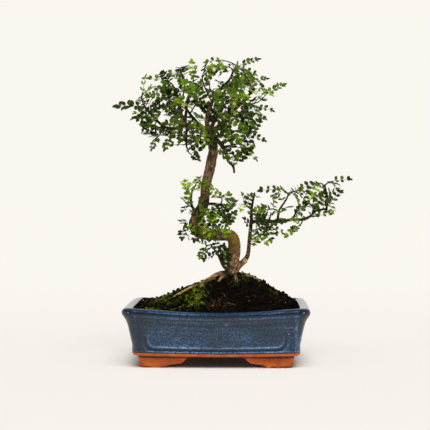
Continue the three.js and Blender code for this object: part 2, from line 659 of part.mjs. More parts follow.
      twig: [[-4.3, -7.6, 218.1], [1.9, -18, 210.7], [3.9, -20, 207.6]],
      tip: [19.3, -26, 192.8],
      leaves: 4,
    },
    {
      twig: [[-42.9, -7.4, 190.9], [-46.1, -11, 186.8], [-47.1, -13, 182]],
      tip: [-47.8, -26, 168.7],
      leaves: 3,
    },
    {
      twig: [[-6.9, -18, 162.2], [-12.4, -19.5, 161], [-16.5, -20.5, 157.6]],
      tip: [-23.6, -30, 143.7],
      leaves: 3,
    },
  ],
  right_spray: [
    { twig: [[47.6, 3, 212.8], [41.8, 0, 215], [38, -2, 217.8]], tip: [33.5, -12, 233.1], leaves: 3 },
    {
      twig: [[97.9, -5.6, 231.3], [91.8, -7, 237.3], [84.7, -7.5, 238.3]],
      tip: [54.4, -8, 235.3],
      leaves: 3,
    },
    { twig: [[85.7, -4, 208.1], [76.6, -8, 211], [69.5, -9.5, 210]], tip: [48.3, -12, 207.9], leaves: 3 },
    {
      twig: [[98.3, -5.7, 232.3], [105.9, -7.5, 235.3], [112, -8.5, 232.2]],
      tip: [128.1, -10, 217],
      leaves: 3,
    },
    {
      twig: [[66.3, -2.8, 195.7], [68.7, -8, 191.6], [70.7, -11, 186.9]],
      tip: [82.1, -26, 175],
      leaves: 4,
    },
    {
      twig: [[44.7, 0.6, 170.8], [51.3, -5, 175.8], [55.4, -8, 177.7]],
      tip: [70.5, -14, 160.4],
      leaves: 4,
    },
    {
      twig: [[111.4, 26, 210.6], [117.6, 32, 214.3], [123.8, 34, 214.4]],
      tip: [146.3, 42, 206.5],
      leaves: 3,
    },
    { twig: [[118.1, 0, 196.5], [116, -7, 190.8], [110.9, -9, 186.7]], tip: [92.7, -13, 171.5], leaves: 2 },
    {
      twig: [[149.6, 3.8, 240.7], [144.5, 3, 246.2], [137.4, 2, 246.7]],
      tip: [111.1, -1, 238.5],
      leaves: 2,
    },
    { twig: [[149, 4, 243.2], [153.7, 5, 247.8], [159.8, 6, 249.4]], tip: [188.1, 7, 251.9], leaves: 3 },
    {
      twig: [[128.7, 2, 201.7], [132.1, -2, 200.1], [135.7, -5, 200.9]],
      tip: [160.9, -8, 205.1],
      leaves: 2,
    },
  ],
};

// One draw between 0 and 1, always the same for the same whole numbers
function draw(...keys) {
  let mixed = SEED;
  for (const key of keys) {
    mixed = Math.imul(mixed ^ (key + 0x9e3779b9), 0x85ebca6b) >>> 0;
    mixed = Math.imul(mixed ^ (mixed >>> 13), 0xc2b2ae35) >>> 0;
    mixed = (mixed ^ (mixed >>> 16)) >>> 0;
  }
  return mixed / 2 ** 32;
}

// A leaf: base, the vector to its tip before it sags, the sag, and the way its upper face looks
function leafTo(base, tip, up, sagShare) {
  const sag = base.distanceTo(tip) * sagShare;
  const reach = tip.clone().sub(base).addScaledVector(UP, sag);
  const side = reach.clone().cross(up).normalize();
  return { base, reach, sag, side, length: reach.length() };
}

// A place on the leaf: share of the way along the rib, and millimetres off to one side
function leafPoint(leaf, share, off) {
  const place = leaf.base.clone()
    .addScaledVector(leaf.reach, share)
    .addScaledVector(UP, -leaf.sag * share * share);
  const tangent = leaf.reach.clone().addScaledVector(UP, -2 * leaf.sag * share);
  const normal = leaf.side.clone().cross(tangent).normalize();
  place.addScaledVector(leaf.side, off * FOLD_OUT).addScaledVector(normal, Math.abs(off) * FOLD_UP);
  return { place, normal };
}

// The outline of one side of a leaf as [share, off]: notches at the rib, and leaflets between them
function leafOutline(leaf) {
  const pairs = leaf.length > LONG_LEAF ? 2 : 1;
  const step = pairs === 2 ? PAIR_STEP_LONG : PAIR_STEP_SHORT;
  const reach = leaf.length * LEAFLET_SHARE;
  const notches = Array.from({ length: pairs + 1 }, (_, i) => PETIOLE_SHARE + i * step);
  const leaflets = notches.slice(0, pairs).map((start) => ({
    corner: [start + LEAFLET_CORNER.along * step, LEAFLET_CORNER.out * reach],
    point: [start + LEAFLET_POINT.along * step, LEAFLET_POINT.out * reach],
  }));
  const last = notches.at(-1);
  const shoulder = [last + END_SHOULDER.along * (1 - last), END_SHOULDER.out * reach];
  return { notches, leaflets, shoulder };
}

// A leaf as points and triangles, open at the start of its stalk, where "stalk" lists the points
function leafShell(leaf) {
  const { notches, leaflets, shoulder } = leafOutline(leaf);
  const top = [];
  const faces = [];
  const rim = [[], []];
  const add = (share, off) => top.push(leafPoint(leaf, share, off)) - 1;
  const rows = notches.map((share) => [add(share, RIB_HALF_WIDTH), add(share, -RIB_HALF_WIDTH)]);
  const tip = add(1, 0);
  for (let i = 0; i + 1 < rows.length; i++) {
    faces.push([rows[i][0], rows[i + 1][0], rows[i + 1][1]], [rows[i][0], rows[i + 1][1], rows[i][1]]);
  }
  for (const hand of [0, 1]) {
    const sign = hand ? -1 : 1;
    rim[hand].push(rows[0][hand]);
    leaflets.forEach((leaflet, i) => {
      const corner = add(leaflet.corner[0], sign * leaflet.corner[1]);
      const point = add(leaflet.point[0], sign * leaflet.point[1]);
      rim[hand].push(corner, point, rows[i + 1][hand]);
      faces.push([rows[i][hand], corner, point], [rows[i][hand], point, rows[i + 1][hand]]);
    });
    const last = add(shoulder[0], sign * shoulder[1]);
    rim[hand].push(last);
    faces.push([rows.at(-1)[hand], last, tip]);
  }
  faces.push([rows.at(-1)[0], tip, rows.at(-1)[1]]);
  const loop = [...rim[0], tip, ...rim[1].reverse()];
  const count = top.length;
  const half = LEAF_THICK / 2;
  const points = [
    ...top.map(({ place, normal }) => place.clone().addScaledVector(normal, half)),
    ...top.map(({ place, normal }) => place.clone().addScaledVector(normal, -half)),
  ];
  const triangles = [];
  for (const [a, b, c] of faces) {
    const ab = points[b].clone().sub(points[a]);
    const ac = points[c].clone().sub(points[a]);
    const upward = ab.cross(ac).dot(top[a].normal) > 0;
    triangles.push(...(upward ? [a, b, c] : [a, c, b]));
    triangles.push(...(upward ? [a + count, c + count, b + count] : [a + count, b + count, c + count]));
  }
  for (let i = 0; i + 1 < loop.length; i++) {
    const [a, b] = [loop[i], loop[i + 1]];
    triangles.push(a, a + count, b, b, a + count, b + count);
  }
  const [right, left] = rows[0];
  return { points, triangles, stalk: [right, right + count, left + count, left] };
}

// Points over a leaf, close enough together that two leaves can't cross between them
const RIB_SAMPLES = { first: 0.2, count: 11 };
const PETIOLE_SAMPLES = [0.05, 0.12, 0.19];
function leafSamples(leaf) {
  const { notches, leaflets, shoulder } = leafOutline(leaf);
  const samples = [];
  for (let i = 0; i < RIB_SAMPLES.count; i++) {
    samples.push([THREE.MathUtils.lerp(RIB_SAMPLES.first, 1, i / (RIB_SAMPLES.count - 1)), 0]);
  }
  for (const sign of [-1, 1]) {
    leaflets.forEach(({ corner, point }, i) => {
      const middle = (corner[0] + point[0]) / 2;
      const out = sign * point[1];
      samples.push([corner[0], sign * corner[1]], [point[0], out], [middle, out * 0.95]);
      samples.push([(notches[i] + middle) / 2, out * 0.5], [middle + 0.05, out * 0.55]);
    });
    samples.push([shoulder[0], sign * shoulder[1]]);
  }
  return samples.map(([share, off]) => leafPoint(leaf, share, off).place);
}

function petioleSamples(leaf) {
  return PETIOLE_SAMPLES.map((share) => leafPoint(leaf, share, 0).place);
}

// Points already taken, by cell, each with the tag of what holds it
class Room {
  constructor(size) {
    this.size = size;
    this.cells = new Map();
  }
  key(x, y, z) {
    return `${x},${y},${z}`;
  }
  cell(point) {
    return [point.x, point.y, point.z].map((value) => Math.floor(value / this.size));
  }
  fill(points, tag) {
    for (const point of points) {
      const key = this.key(...this.cell(point));
      if (!this.cells.has(key)) this.cells.set(key, []);
      this.cells.get(key).push([point, tag]);
    }
  }
  isFree(points, ownTag) {
    for (const point of points) {
      const [cx, cy, cz] = this.cell(point);
      for (let x = cx - 1; x <= cx + 1; x++) {
        for (let y = cy - 1; y <= cy + 1; y++) {
          for (let z = cz - 1; z <= cz + 1; z++) {
            for (const [other, tag] of this.cells.get(this.key(x, y, z)) ?? []) {
              if (tag !== ownTag && point.distanceToSquared(other) < this.size ** 2) return false;
            }
          }
        }
      }
    }
    return true;
  }
}

// Rings of points over the wood, a little under its surface
const WOOD_TAG = 0;
const NO_TAG = -1;
const WOOD_STEPS = 8;
const WOOD_DEPTH = 0.8;
function fillWood(room) {
  for (const stem of [TRUNK, ...LIMBS]) {
    const curve = curveThrough(stem);
    const steps = (stem.length - 1) * WOOD_STEPS;
    for (let k = 0; k <= steps; k++) {
      const tangent = curve.getTangent(k / steps);
      const radius = radiusAt(stem, k / steps);
      const first = ROUND_FROM.clone().cross(tangent).normalize();
      const second = tangent.clone().cross(first);
      const sides = Math.max(3, Math.ceil(radius * 2));
      room.fill(ringAround(curve.getPoint(k / steps), first, second, radius * WOOD_DEPTH, sides), WOOD_TAG);
    }
  }
}

// The way the upper face of a leaf looks, tilted a little for each leaf
function faceWay(tip, tiltX, tiltY) {
  const outward = tip.clone().sub(CROWN_CENTRE).normalize();
  return new THREE.Vector3(
    outward.x * FACE_OUTWARD + tiltX,
    outward.y * FACE_OUTWARD - FACE_FRONT + tiltY,
    1,
  ).normalize();
}

// All leaves of all shoots: the end leaves first, then the side leaves where there is room
const TWIG_LINE_STEPS = 5;
const MOST_LEAVES = 100;
function growLeaves(shoots) {
  const room = new Room(LEAF_CLEARANCE);
  fillWood(room);
  for (const shoot of shoots) {
    room.fill(shoot.curve.getPoints(shoot.twig.length * TWIG_LINE_STEPS), shoot.tag);
  }
  const keep = (shoot, leaf) => {
    shoot.grown.push(leaf);
    room.fill(petioleSamples(leaf), shoot.tag);
    room.fill(leafSamples(leaf), shoot.tag * MOST_LEAVES + shoot.grown.length);
  };
  for (const shoot of shoots) {
    const tip = vectorOf(shoot.tip);
    keep(shoot, leafTo(shoot.curve.getPoint(1), tip, faceWay(tip, 0, 0), END_LEAF_SAG));
  }
  for (let number = 1; number <= MOST_SIDE_LEAVES; number++) {
    for (const shoot of shoots) {
      if (number <= shoot.leaves) growSideLeaf(shoot, number, room, keep);
    }
  }
}

// Whether a place seen from the front is inside a tier's outline
function isInside(x, z, edge) {
  let inside = false;
  edge.forEach(([ax, az], i) => {
    const [bx, bz] = edge[(i + 1) % edge.length];
    if (az > z !== bz > z && x < ax + ((bx - ax) * (z - az)) / (bz - az)) inside = !inside;
  });
  return inside;
}

function growSideLeaf(shoot, number, room, keep) {
  const twigLength = shoot.curve.getLength();
  const step = Math.max(LEAF_STEP_SHARE * twigLength, LEAF_STEP_LEAST);
  for (let attempt = 0; attempt < LEAF_TRIES; attempt++) {
    const roll = (channel) => draw(shoot.tag, number, attempt, channel);
    const fromEnd = LEAF_STEP_FIRST + (number - 1) * step + LEAF_STEP_JITTER * step * roll(1);
    const t = 1 - fromEnd / twigLength;
    if (t * twigLength < TWIG_HIDDEN) return;
    const base = shoot.curve.getPoint(t);
    const tangent = shoot.curve.getTangent(t);
    const first = ROUND_FROM.clone().cross(tangent).normalize();
    const second = tangent.clone().cross(first);
    const around = (number + attempt) * GOLDEN_ANGLE + roll(2);
    const lean = SIDE_LEAF_LEAN.least + SIDE_LEAF_LEAN.more * roll(3);
    const along = tangent.clone().multiplyScalar(Math.cos(lean))
      .addScaledVector(first, Math.sin(lean) * Math.cos(around))
      .addScaledVector(second, Math.sin(lean) * Math.sin(around));
    const share = SIDE_LEAF_RANGE.least + SIDE_LEAF_RANGE.more * roll(4);
    const cramped = attempt > LEAF_TRIES / 2 ? SIDE_LEAF_RANGE.cramped : 1;
    const tip = base.clone().addScaledVector(along, SIDE_LEAF_LENGTH * share * cramped * shoot.size);
    if (!isInside(tip.x, tip.z, shoot.edge)) continue;
    const up = faceWay(tip, roll(5) - 0.5, roll(6) - 0.5);
    const leaf = leafTo(base, tip, up, SIDE_LEAF_SAG.least + SIDE_LEAF_SAG.more * roll(7));
    if (room.isFree(leafSamples(leaf), NO_TAG) && room.isFree(petioleSamples(leaf), shoot.tag)) {
      keep(shoot, { ...leaf, t });
      return;
    }
  }
}

// Where round the twig's facet a leaf stalk is best joined on, so that it twists least
function leastTwist(from, to) {
  const gaps = (shift) => from.map((point, i) => point.distanceTo(to[(i + shift) % to.length]));
  const reach = (shift) => gaps(shift).reduce((sum, gap) => sum + gap, 0);
  return [0, 1, 2, 3].reduce((best, shift) => (reach(shift) < reach(best) ? shift : best), 0);
}

// A twig with its leaves as one closed skin: each leaf stalk grows out of a facet of the twig
function shootSolid(shoot, wood) {
  const side = shoot.grown.filter((leaf) => leaf.t !== undefined).sort((a, b) => a.t - b.t);
  const foot = STALK_FOOT / shoot.curve.getLength();
  const stations = [0, ...side.flatMap((leaf) => [leaf.t - foot, leaf.t + foot]), 1];
  const points = [];
  const triangles = [];
  const rings = [];
  let sideways = ROUND_FROM.clone().cross(shoot.curve.getTangent(0));
  for (const t of stations) {
    const tangent = shoot.curve.getTangent(t);
    sideways = sideways.clone().addScaledVector(tangent, -sideways.dot(tangent)).normalize();
    const third = tangent.clone().cross(sideways);
    const radius = THREE.MathUtils.lerp(TWIG_THICK, TWIG_THIN, t);
    const ring = ringAround(shoot.curve.getPoint(t), sideways, third, radius, TWIG_SIDES);
    rings.push(ring.map((point) => points.push(point) - 1));
  }
  const join = (opening, leaf) => {
    const shell = leafShell(leaf);
    const offset = points.length;
    points.push(...shell.points);
    triangles.push(...shell.triangles.map((index) => index + offset));
    const stalk = shell.stalk.map((index) => index + offset);
    const corners = opening.length === 3 ? [...opening, opening[2]] : opening;
    const shift = leastTwist(corners.map((i) => points[i]), stalk.map((i) => points[i]));
    for (let i = 0; i < 4; i++) {
      const [a, b] = [corners[i], corners[(i + 1) % 4]];
      const [c, d] = [stalk[(i + 1 + shift) % 4], stalk[(i + shift) % 4]];
      if (a !== b) triangles.push(a, b, c);
      triangles.push(a, c, d);
    }
  };
  for (let k = 0; k + 1 < rings.length; k++) {
    const leaf = k % 2 ? side[(k - 1) / 2] : null;
    const facets = rings[k].map((low, i) => {
      const next = (i + 1) % TWIG_SIDES;
      return [low, rings[k][next], rings[k + 1][next], rings[k + 1][i]];
    });
    const facing = facets.map((facet) => {
      const [a, b, , d] = facet.map((index) => points[index]);
      const normal = b.clone().sub(a).cross(d.clone().sub(a)).normalize();
      return leaf ? normal.dot(leaf.reach) : 0;
    });
    const best = facing.indexOf(Math.max(...facing));
    facets.forEach((facet, i) => {
      if (leaf && i === best) join(facet, leaf);
      else triangles.push(facet[0], facet[1], facet[2], facet[0], facet[2], facet[3]);
    });
  }
  triangles.push(...rings[0].slice().reverse());
  join(rings.at(-1), shoot.grown.find((leaf) => leaf.t === undefined));
  return mainBody(solidFrom(points, triangles).subtract(wood));
}

const bonsai = new THREE.Group();
const roots = ROOTS.map(rootPoints);
const stems = (grown) => [
  stemSolid(TRUNK, TRUNK_SIDES, grown),
  ...[...LIMBS, ...roots].map((stem) => stemSolid(stem, LIMB_SIDES, grown)),
];
const wood = wasm.Manifold.union(stems(0));
const woodRoom = wasm.Manifold.union(stems(FIT_GAP));

bonsai.add(meshOf("pot", buildPot(), GLAZE));
bonsai.add(meshOf("drain_screen_left", buildScreen(-1), PLASTIC));
bonsai.add(meshOf("drain_screen_right", buildScreen(1), PLASTIC));
bonsai.add(meshOf("soil", buildSoil([woodRoom]), EARTH));
bonsai.add(meshOf("tree_wood", mainBody(wood), BARK));

const shoots = [];
for (const [kind, list] of Object.entries(SHOOTS)) {
  list.forEach((spec, index) => {
    const name = `${kind}_${String(index + 1).padStart(2, "0")}`;
    const curve = curveThrough(spec.twig);
    shoots.push({ ...spec, ...TIERS[kind], name, curve, tag: shoots.length + 1, grown: [] });
  });
}
growLeaves(shoots);
for (const shoot of shoots) {
  bonsai.add(meshOf(shoot.name, shootSolid(shoot, woodRoom), LEAF_GREEN));
}

const bounds = new THREE.Box3().setFromObject(bonsai);
bonsai.position.set(-(bounds.min.x + bounds.max.x) / 2, -(bounds.min.y + bounds.max.y) / 2, -bounds.min.z);

export default bonsai;
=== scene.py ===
# Looks of a Chinese pepper bonsai in its glazed pot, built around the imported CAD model.
# Lengths are millimetres, and places are measured from the middle of the pot, on the surface that it
# stands on. The function "placed" turns them into metres in the shared frame.
import json
import math
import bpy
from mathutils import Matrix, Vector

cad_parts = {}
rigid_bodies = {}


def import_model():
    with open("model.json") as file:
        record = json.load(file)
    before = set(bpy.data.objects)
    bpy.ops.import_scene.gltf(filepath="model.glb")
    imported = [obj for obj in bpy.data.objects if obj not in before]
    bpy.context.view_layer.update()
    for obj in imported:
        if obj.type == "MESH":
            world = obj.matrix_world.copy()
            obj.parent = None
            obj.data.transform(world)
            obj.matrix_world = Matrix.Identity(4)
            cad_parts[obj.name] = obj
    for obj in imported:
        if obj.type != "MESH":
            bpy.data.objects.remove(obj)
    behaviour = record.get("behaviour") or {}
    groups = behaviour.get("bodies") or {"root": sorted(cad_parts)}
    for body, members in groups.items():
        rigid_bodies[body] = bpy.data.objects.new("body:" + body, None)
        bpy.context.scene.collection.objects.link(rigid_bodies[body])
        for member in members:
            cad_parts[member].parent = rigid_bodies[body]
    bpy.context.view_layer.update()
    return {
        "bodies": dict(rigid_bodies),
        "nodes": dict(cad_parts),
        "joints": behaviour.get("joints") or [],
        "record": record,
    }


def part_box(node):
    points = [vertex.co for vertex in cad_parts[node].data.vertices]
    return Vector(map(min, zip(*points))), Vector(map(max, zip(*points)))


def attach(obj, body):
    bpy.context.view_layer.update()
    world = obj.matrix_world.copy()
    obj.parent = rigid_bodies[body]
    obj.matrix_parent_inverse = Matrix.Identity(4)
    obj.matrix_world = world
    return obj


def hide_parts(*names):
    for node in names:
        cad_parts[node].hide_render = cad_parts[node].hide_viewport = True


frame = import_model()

from copy import copy

import bpy
import numpy as np
from mathutils import Vector, kdtree, noise

MM = 0.001
POT_BOX = [np.array(corner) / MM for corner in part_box("pot")]
# The shared frame's origin is under the middle of the whole object, and the pot stands beside it
POT_MIDDLE = np.array([(POT_BOX[0][0] + POT_BOX[1][0]) / 2, (POT_BOX[0][1] + POT_BOX[1][1]) / 2, 0])
UP = np.array([0.0, 0.0, 1.0])
random = np.random.RandomState(11)

# Pot, as in the part's source: over the rim at its corners, and from the table to the top of the rim
POT_LENGTH = 250
POT_DEPTH = 185
POT_HEIGHT = 80.5
SIDE_BOW = 3
FOOT_RING_BOTTOM = 16.4
FLOOR_TOP = 24
INNER_TOP = 79.5
INNER_TOP_INSET = 14.5
INNER_FLOOR_INSET = 24
INNER_CORNER = 5
FIRING_SAG = 5.3
LEAST_SAG_SHARE = 0.25
SAG_POWER = 1.5
FOOT_TOP = 18.5
FOOT_INSET = 20
FOOT_THICK = 13
FOOT_SPLAY = 3
FOOT_CORNER = 9
FOOT_LONG = (33.8, 34.2)
FOOT_SHORT = (21, 23)
# Scroll at the end of a foot's arm: two curves of control points, as a share of its length and a height
SCROLL_CURVES = [
    [(0, 0), (0.02, 3.4), (0.35, 4.8), (0.6, 5.9)],
    [(0.6, 5.9), (0.78, 6.8), (0.78, 13), (1, 15.3)],
]
DRAIN_RADIUS = 8
DRAIN_SPACING = 112
SCREEN_SIZE = 28
SCREEN_BAR = 0.8
SCREEN_CELLS = 10

# Soil, heaped up to the foot of the tree and steeper on the left of it
SOIL_EDGE = 76.5
SOIL_RISE = 48.8
SOIL_PEAK = (22, 2)
MOUND_SQUARENESS = 2.4
MOUND_FULLNESS = 1.3
MOUND_SKEW = 0.35
MOUND_SKEW_REACH = 30
LUMP_HEIGHT = 1.8
LUMP_WAVES = {"x": 0.11, "y": 0.13, "fine_x": 0.23, "fine_y": 0.19}
SOIL_BOTTOM = 25.6
ROOT_START_DEPTH = 4
ROOT_LIFT_SHARE = 0.2

# Leaves and the rule that places them, as in the part's source. Shares are of the leaf's length.
PETIOLE_SHARE = 0.14
LEAFLET_SHARE = 0.25
LONG_LEAF = 36.5
PAIR_STEP_LONG = 0.285
PAIR_STEP_SHORT = 0.4
LEAFLET_CORNER = (0.3, 0.85)
LEAFLET_POINT = (1.02, 1)
END_SHOULDER = (0.5, 0.42)
# Points on each side leaflet, as shares of its reach out from the rib
SIDE_SAMPLES = (LEAFLET_CORNER[1], 1, 0.95, 0.5, 0.55)
FOLD_OUT = 0.96
FOLD_UP = 0.28
RIB_SAMPLES = np.linspace(0.2, 1, 11)
PETIOLE_SAMPLES = np.array([0.05, 0.12, 0.19])
MIDDLE_SHARE = 0.6
END_LEAF_SAG = 0.1
SIDE_LEAF_LENGTH = 31
# Least, how much more at most, and the share of a leaf's length that is left where it is cramped
SIDE_LEAF_RANGE = (0.88, 0.3, 0.72)
SIDE_LEAF_LEAN = (0.75, 0.55)
SIDE_LEAF_SAG = (0.1, 0.12)
MOST_SIDE_LEAVES = 4
LEAF_TRIES = 40
LEAF_CLEARANCE = 2.7
LEAF_STEP_FIRST = 1.8
LEAF_STEP_LEAST = 3.2
LEAF_STEP_SHARE = 0.22
LEAF_STEP_JITTER = 0.2
GOLDEN_ANGLE = 2.4
FACE_OUTWARD = 0.5
FACE_FRONT = 0.35
TWIG_HIDDEN = 4
TWIG_LINE_STEPS = 5
SEED = 7
CROWN_CENTRE = np.array([-7.4, 0, 342])
# A direction that no twig runs along, to measure round a twig from
ROUND_FROM = np.array([0.2, 0.9, 0.3])
WOOD_TAG = 0
NO_TAG = -1
WOOD_STEPS = 8
WOOD_DEPTH = 0.8
MOST_LEAVES = 100
MOST_TAKEN = 60000
CURVE_STEPS = 200
TANGENT_STEP = 0.0001
# Whole numbers that mix the keys of a draw
DRAW_MIX = (0x9E3779B9, 0x85EBCA6B, 0xC2B2AE35)
DRAW_MASK = 0xFFFFFFFF

# Trunk, from the butt in the soil over its two bends to the top: (x, y, z, radius)
TRUNK = [
    (17.9, 5, 55.6, 9.1), (18.9, 4.5, 89, 11.1), (19.9, 4, 116.3, 11.7), (20.4, 4, 125.4, 9.7),
    (22, 3, 138, 8.1), (23.4, 2, 152.4, 8.8), (23.2, 0, 165.8, 8.7), (17.4, -3, 174.3, 8.1),
    (3.8, -5, 175.4, 7.9), (-12.4, -5, 175.6, 7.7), (-25.1, -4, 178.4, 7.8), (-32, -2, 188, 7.9),
    (-28.7, 0, 199.7, 8.3), (-22.1, 1, 210.8, 8.1), (-18, 2, 224.5, 7.1), (-16.5, 3, 242.5, 6.5),
    (-12.7, 2, 258, 7), (-9, 1, 274.2, 7), (-5.8, 0, 292.4, 6.8), (-8.4, 0, 308.6, 6.7),
    (-13, 0, 320.2, 4.7),
]

# Limbs that are one piece with the trunk, each from the wood that carries it to its tip
LIMBS = [
    [(-10.4, 0, 314.7, 4.7), (-17.5, -2, 321.2, 4.3), (-28.6, -5, 325.1, 3.8), (-44.8, -8, 326.4, 3.2),
     (-48.4, -8, 337.6, 2.7), (-51.9, -8, 347.7, 2.4), (-53.4, -10, 358.8, 2), (-57.9, -14, 377.7, 1.4)],
    [(-51.9, -8, 347.7, 2), (-49.9, -5, 358, 1.6), (-46.5, -1, 372.5, 1.2)],
    [(-44.8, -8, 326.4, 2.8), (-43.3, -10, 340.5, 2.2), (-41.2, -13, 355.5, 1.8), (-35.6, -16, 374.5, 1.2)],
    [(-44.8, -8, 326.4, 2.8), (-59.1, -3, 322.2, 2.4), (-73.4, 2, 325, 2.1), (-85.7, 4, 335.3, 1.8),
     (-98.9, 4, 350.1, 1.5), (-104, 4, 359.7, 1.2)],
    [(-41.8, -8, 326.4, 2), (-42.5, -10, 310.1, 1.7), (-42.3, -10, 296, 1.4)],
    [(-11.5, 0, 314.7, 4.5), (1.7, 4, 325, 3.9), (13.9, 6, 338.3, 3.2), (24.5, 6, 349.4, 2.6),
     (38.2, 3, 363.4, 2), (51.4, 0, 378.4, 1.4)],
    [(13.9, 6, 338.3, 2.2), (16.9, 2, 352.3, 1.7), (26.9, -4, 369.1, 1.2)],
    [(-8.4, -2, 317.6, 3.4), (2.1, -8, 303.7, 2.9), (10.9, -11, 290.8, 2.5), (15, -12, 277.6, 2.2),
     (22.1, -12, 269.5, 1.9), (23.5, -12, 260.4, 1.5)],
    [(6.9, -10, 296.9, 1.8), (15, -15, 297.2, 1.5), (23.1, -19, 299.5, 1.1)],
    [(-12.5, 0, 317.7, 3.9), (-14.5, 2, 337.1, 3.2), (-8.5, 4, 357.5, 2.7), (2.7, 4, 375.8, 2.2),
     (16.3, 3, 389.9, 1.7), (23, 2, 405, 1.2)],
    [(-10.5, 2, 315.8, 3.5), (-6.6, 24, 330.2, 2.7), (-0.6, 42, 345.5, 2), (5.4, 57, 362.8, 1.3)],
    [(-20.6, 0, 322.8, 3), (-31, 18, 334, 2.4), (-41.5, 36, 347.3, 1.9), (-49.9, 49, 362.4, 1.3)],
    [(-10.4, -2, 316.6, 3.2), (-6.2, -22, 327.6, 2.4), (2, -38, 338.8, 1.9), (10.2, -51, 352.1, 1.3)],
    [(-28.6, -5, 325.1, 2.6), (-32.4, -24, 333.6, 2), (-39.2, -41, 345.7, 1.3)],
    [(21, 2, 120.3, 5.6), (29.1, 0, 130.9, 4.7), (37.2, 0, 139, 3.8), (42, 0, 146.6, 3),
     (43.7, 0, 158.7, 2.7), (45.2, 1, 175.9, 2.6), (47.1, 2, 194.1, 2.5), (47.5, 3, 211.4, 2),
     (51.6, 4, 233.7, 1.4)],
    [(46.9, 2, 192.1, 2.6), (60.1, -2, 195.2, 2.5), (83.4, -4, 193.2, 2.4), (101.9, -2, 196, 2.3),
     (118.1, 0, 196.5, 2.1), (129.3, 2, 201.2, 1.9), (136.9, 2, 208.3, 1.7), (151.5, 2, 211.3, 1.5)],
    [(151.1, 2, 205.2, 1.5), (151.9, 2, 218.8, 1.7), (151.8, 3, 229.5, 1.6), (148.6, 4, 244.8, 1.3)],
    [(83.4, -4, 193.2, 2), (85.7, -4, 209.1, 1.6), (94.8, -5, 223.2, 1.4), (99.4, -6, 234.3, 1.1)],
    [(101.9, -2, 196, 1.9), (107.2, 13, 201.5, 1.5), (111.4, 27, 211.1, 1.1)],
    [(-26.7, 0, 202.2, 2.6), (-35.7, -5, 216.2, 2), (-35.7, -8, 231.3, 1.7), (-32.8, -9, 240.6, 1.2)],
    [(-18.6, 2, 217.5, 2.4), (-6.3, -7, 218.2, 1.9), (4.8, -10, 216, 1.6), (15, -10, 209, 1.1)],
    [(-30.7, -2, 184.9, 2.2), (-43.8, -6, 185.9, 1.7), (-43.9, -8, 192.3, 1.2)],
    [(17.9, -2, 124.3, 3), (8.9, -15, 132.2, 2.1), (1.4, -18, 148.2, 1.7), (-8.2, -18, 161.3, 1.1)],
]

# Surface roots: plan points and radii
ROOTS = [
    [(19.9, 2, 6), (1.8, -7, 3.6), (-18.4, -14, 2.8), (-39.5, -20, 2.4), (-59.5, -28, 1.8)],
    [(17.9, -2, 4.5), (7.9, -13, 2.6), (0.9, -22, 2)],
    [(22, -3, 4.5), (25.1, -16, 2.6), (27.1, -28, 2)],
    [(24, 3, 5), (42.2, -4, 3), (58.4, -12, 2)],
    [(18.9, 8, 5), (10.7, 27, 3), (5.4, 46, 2)],
]

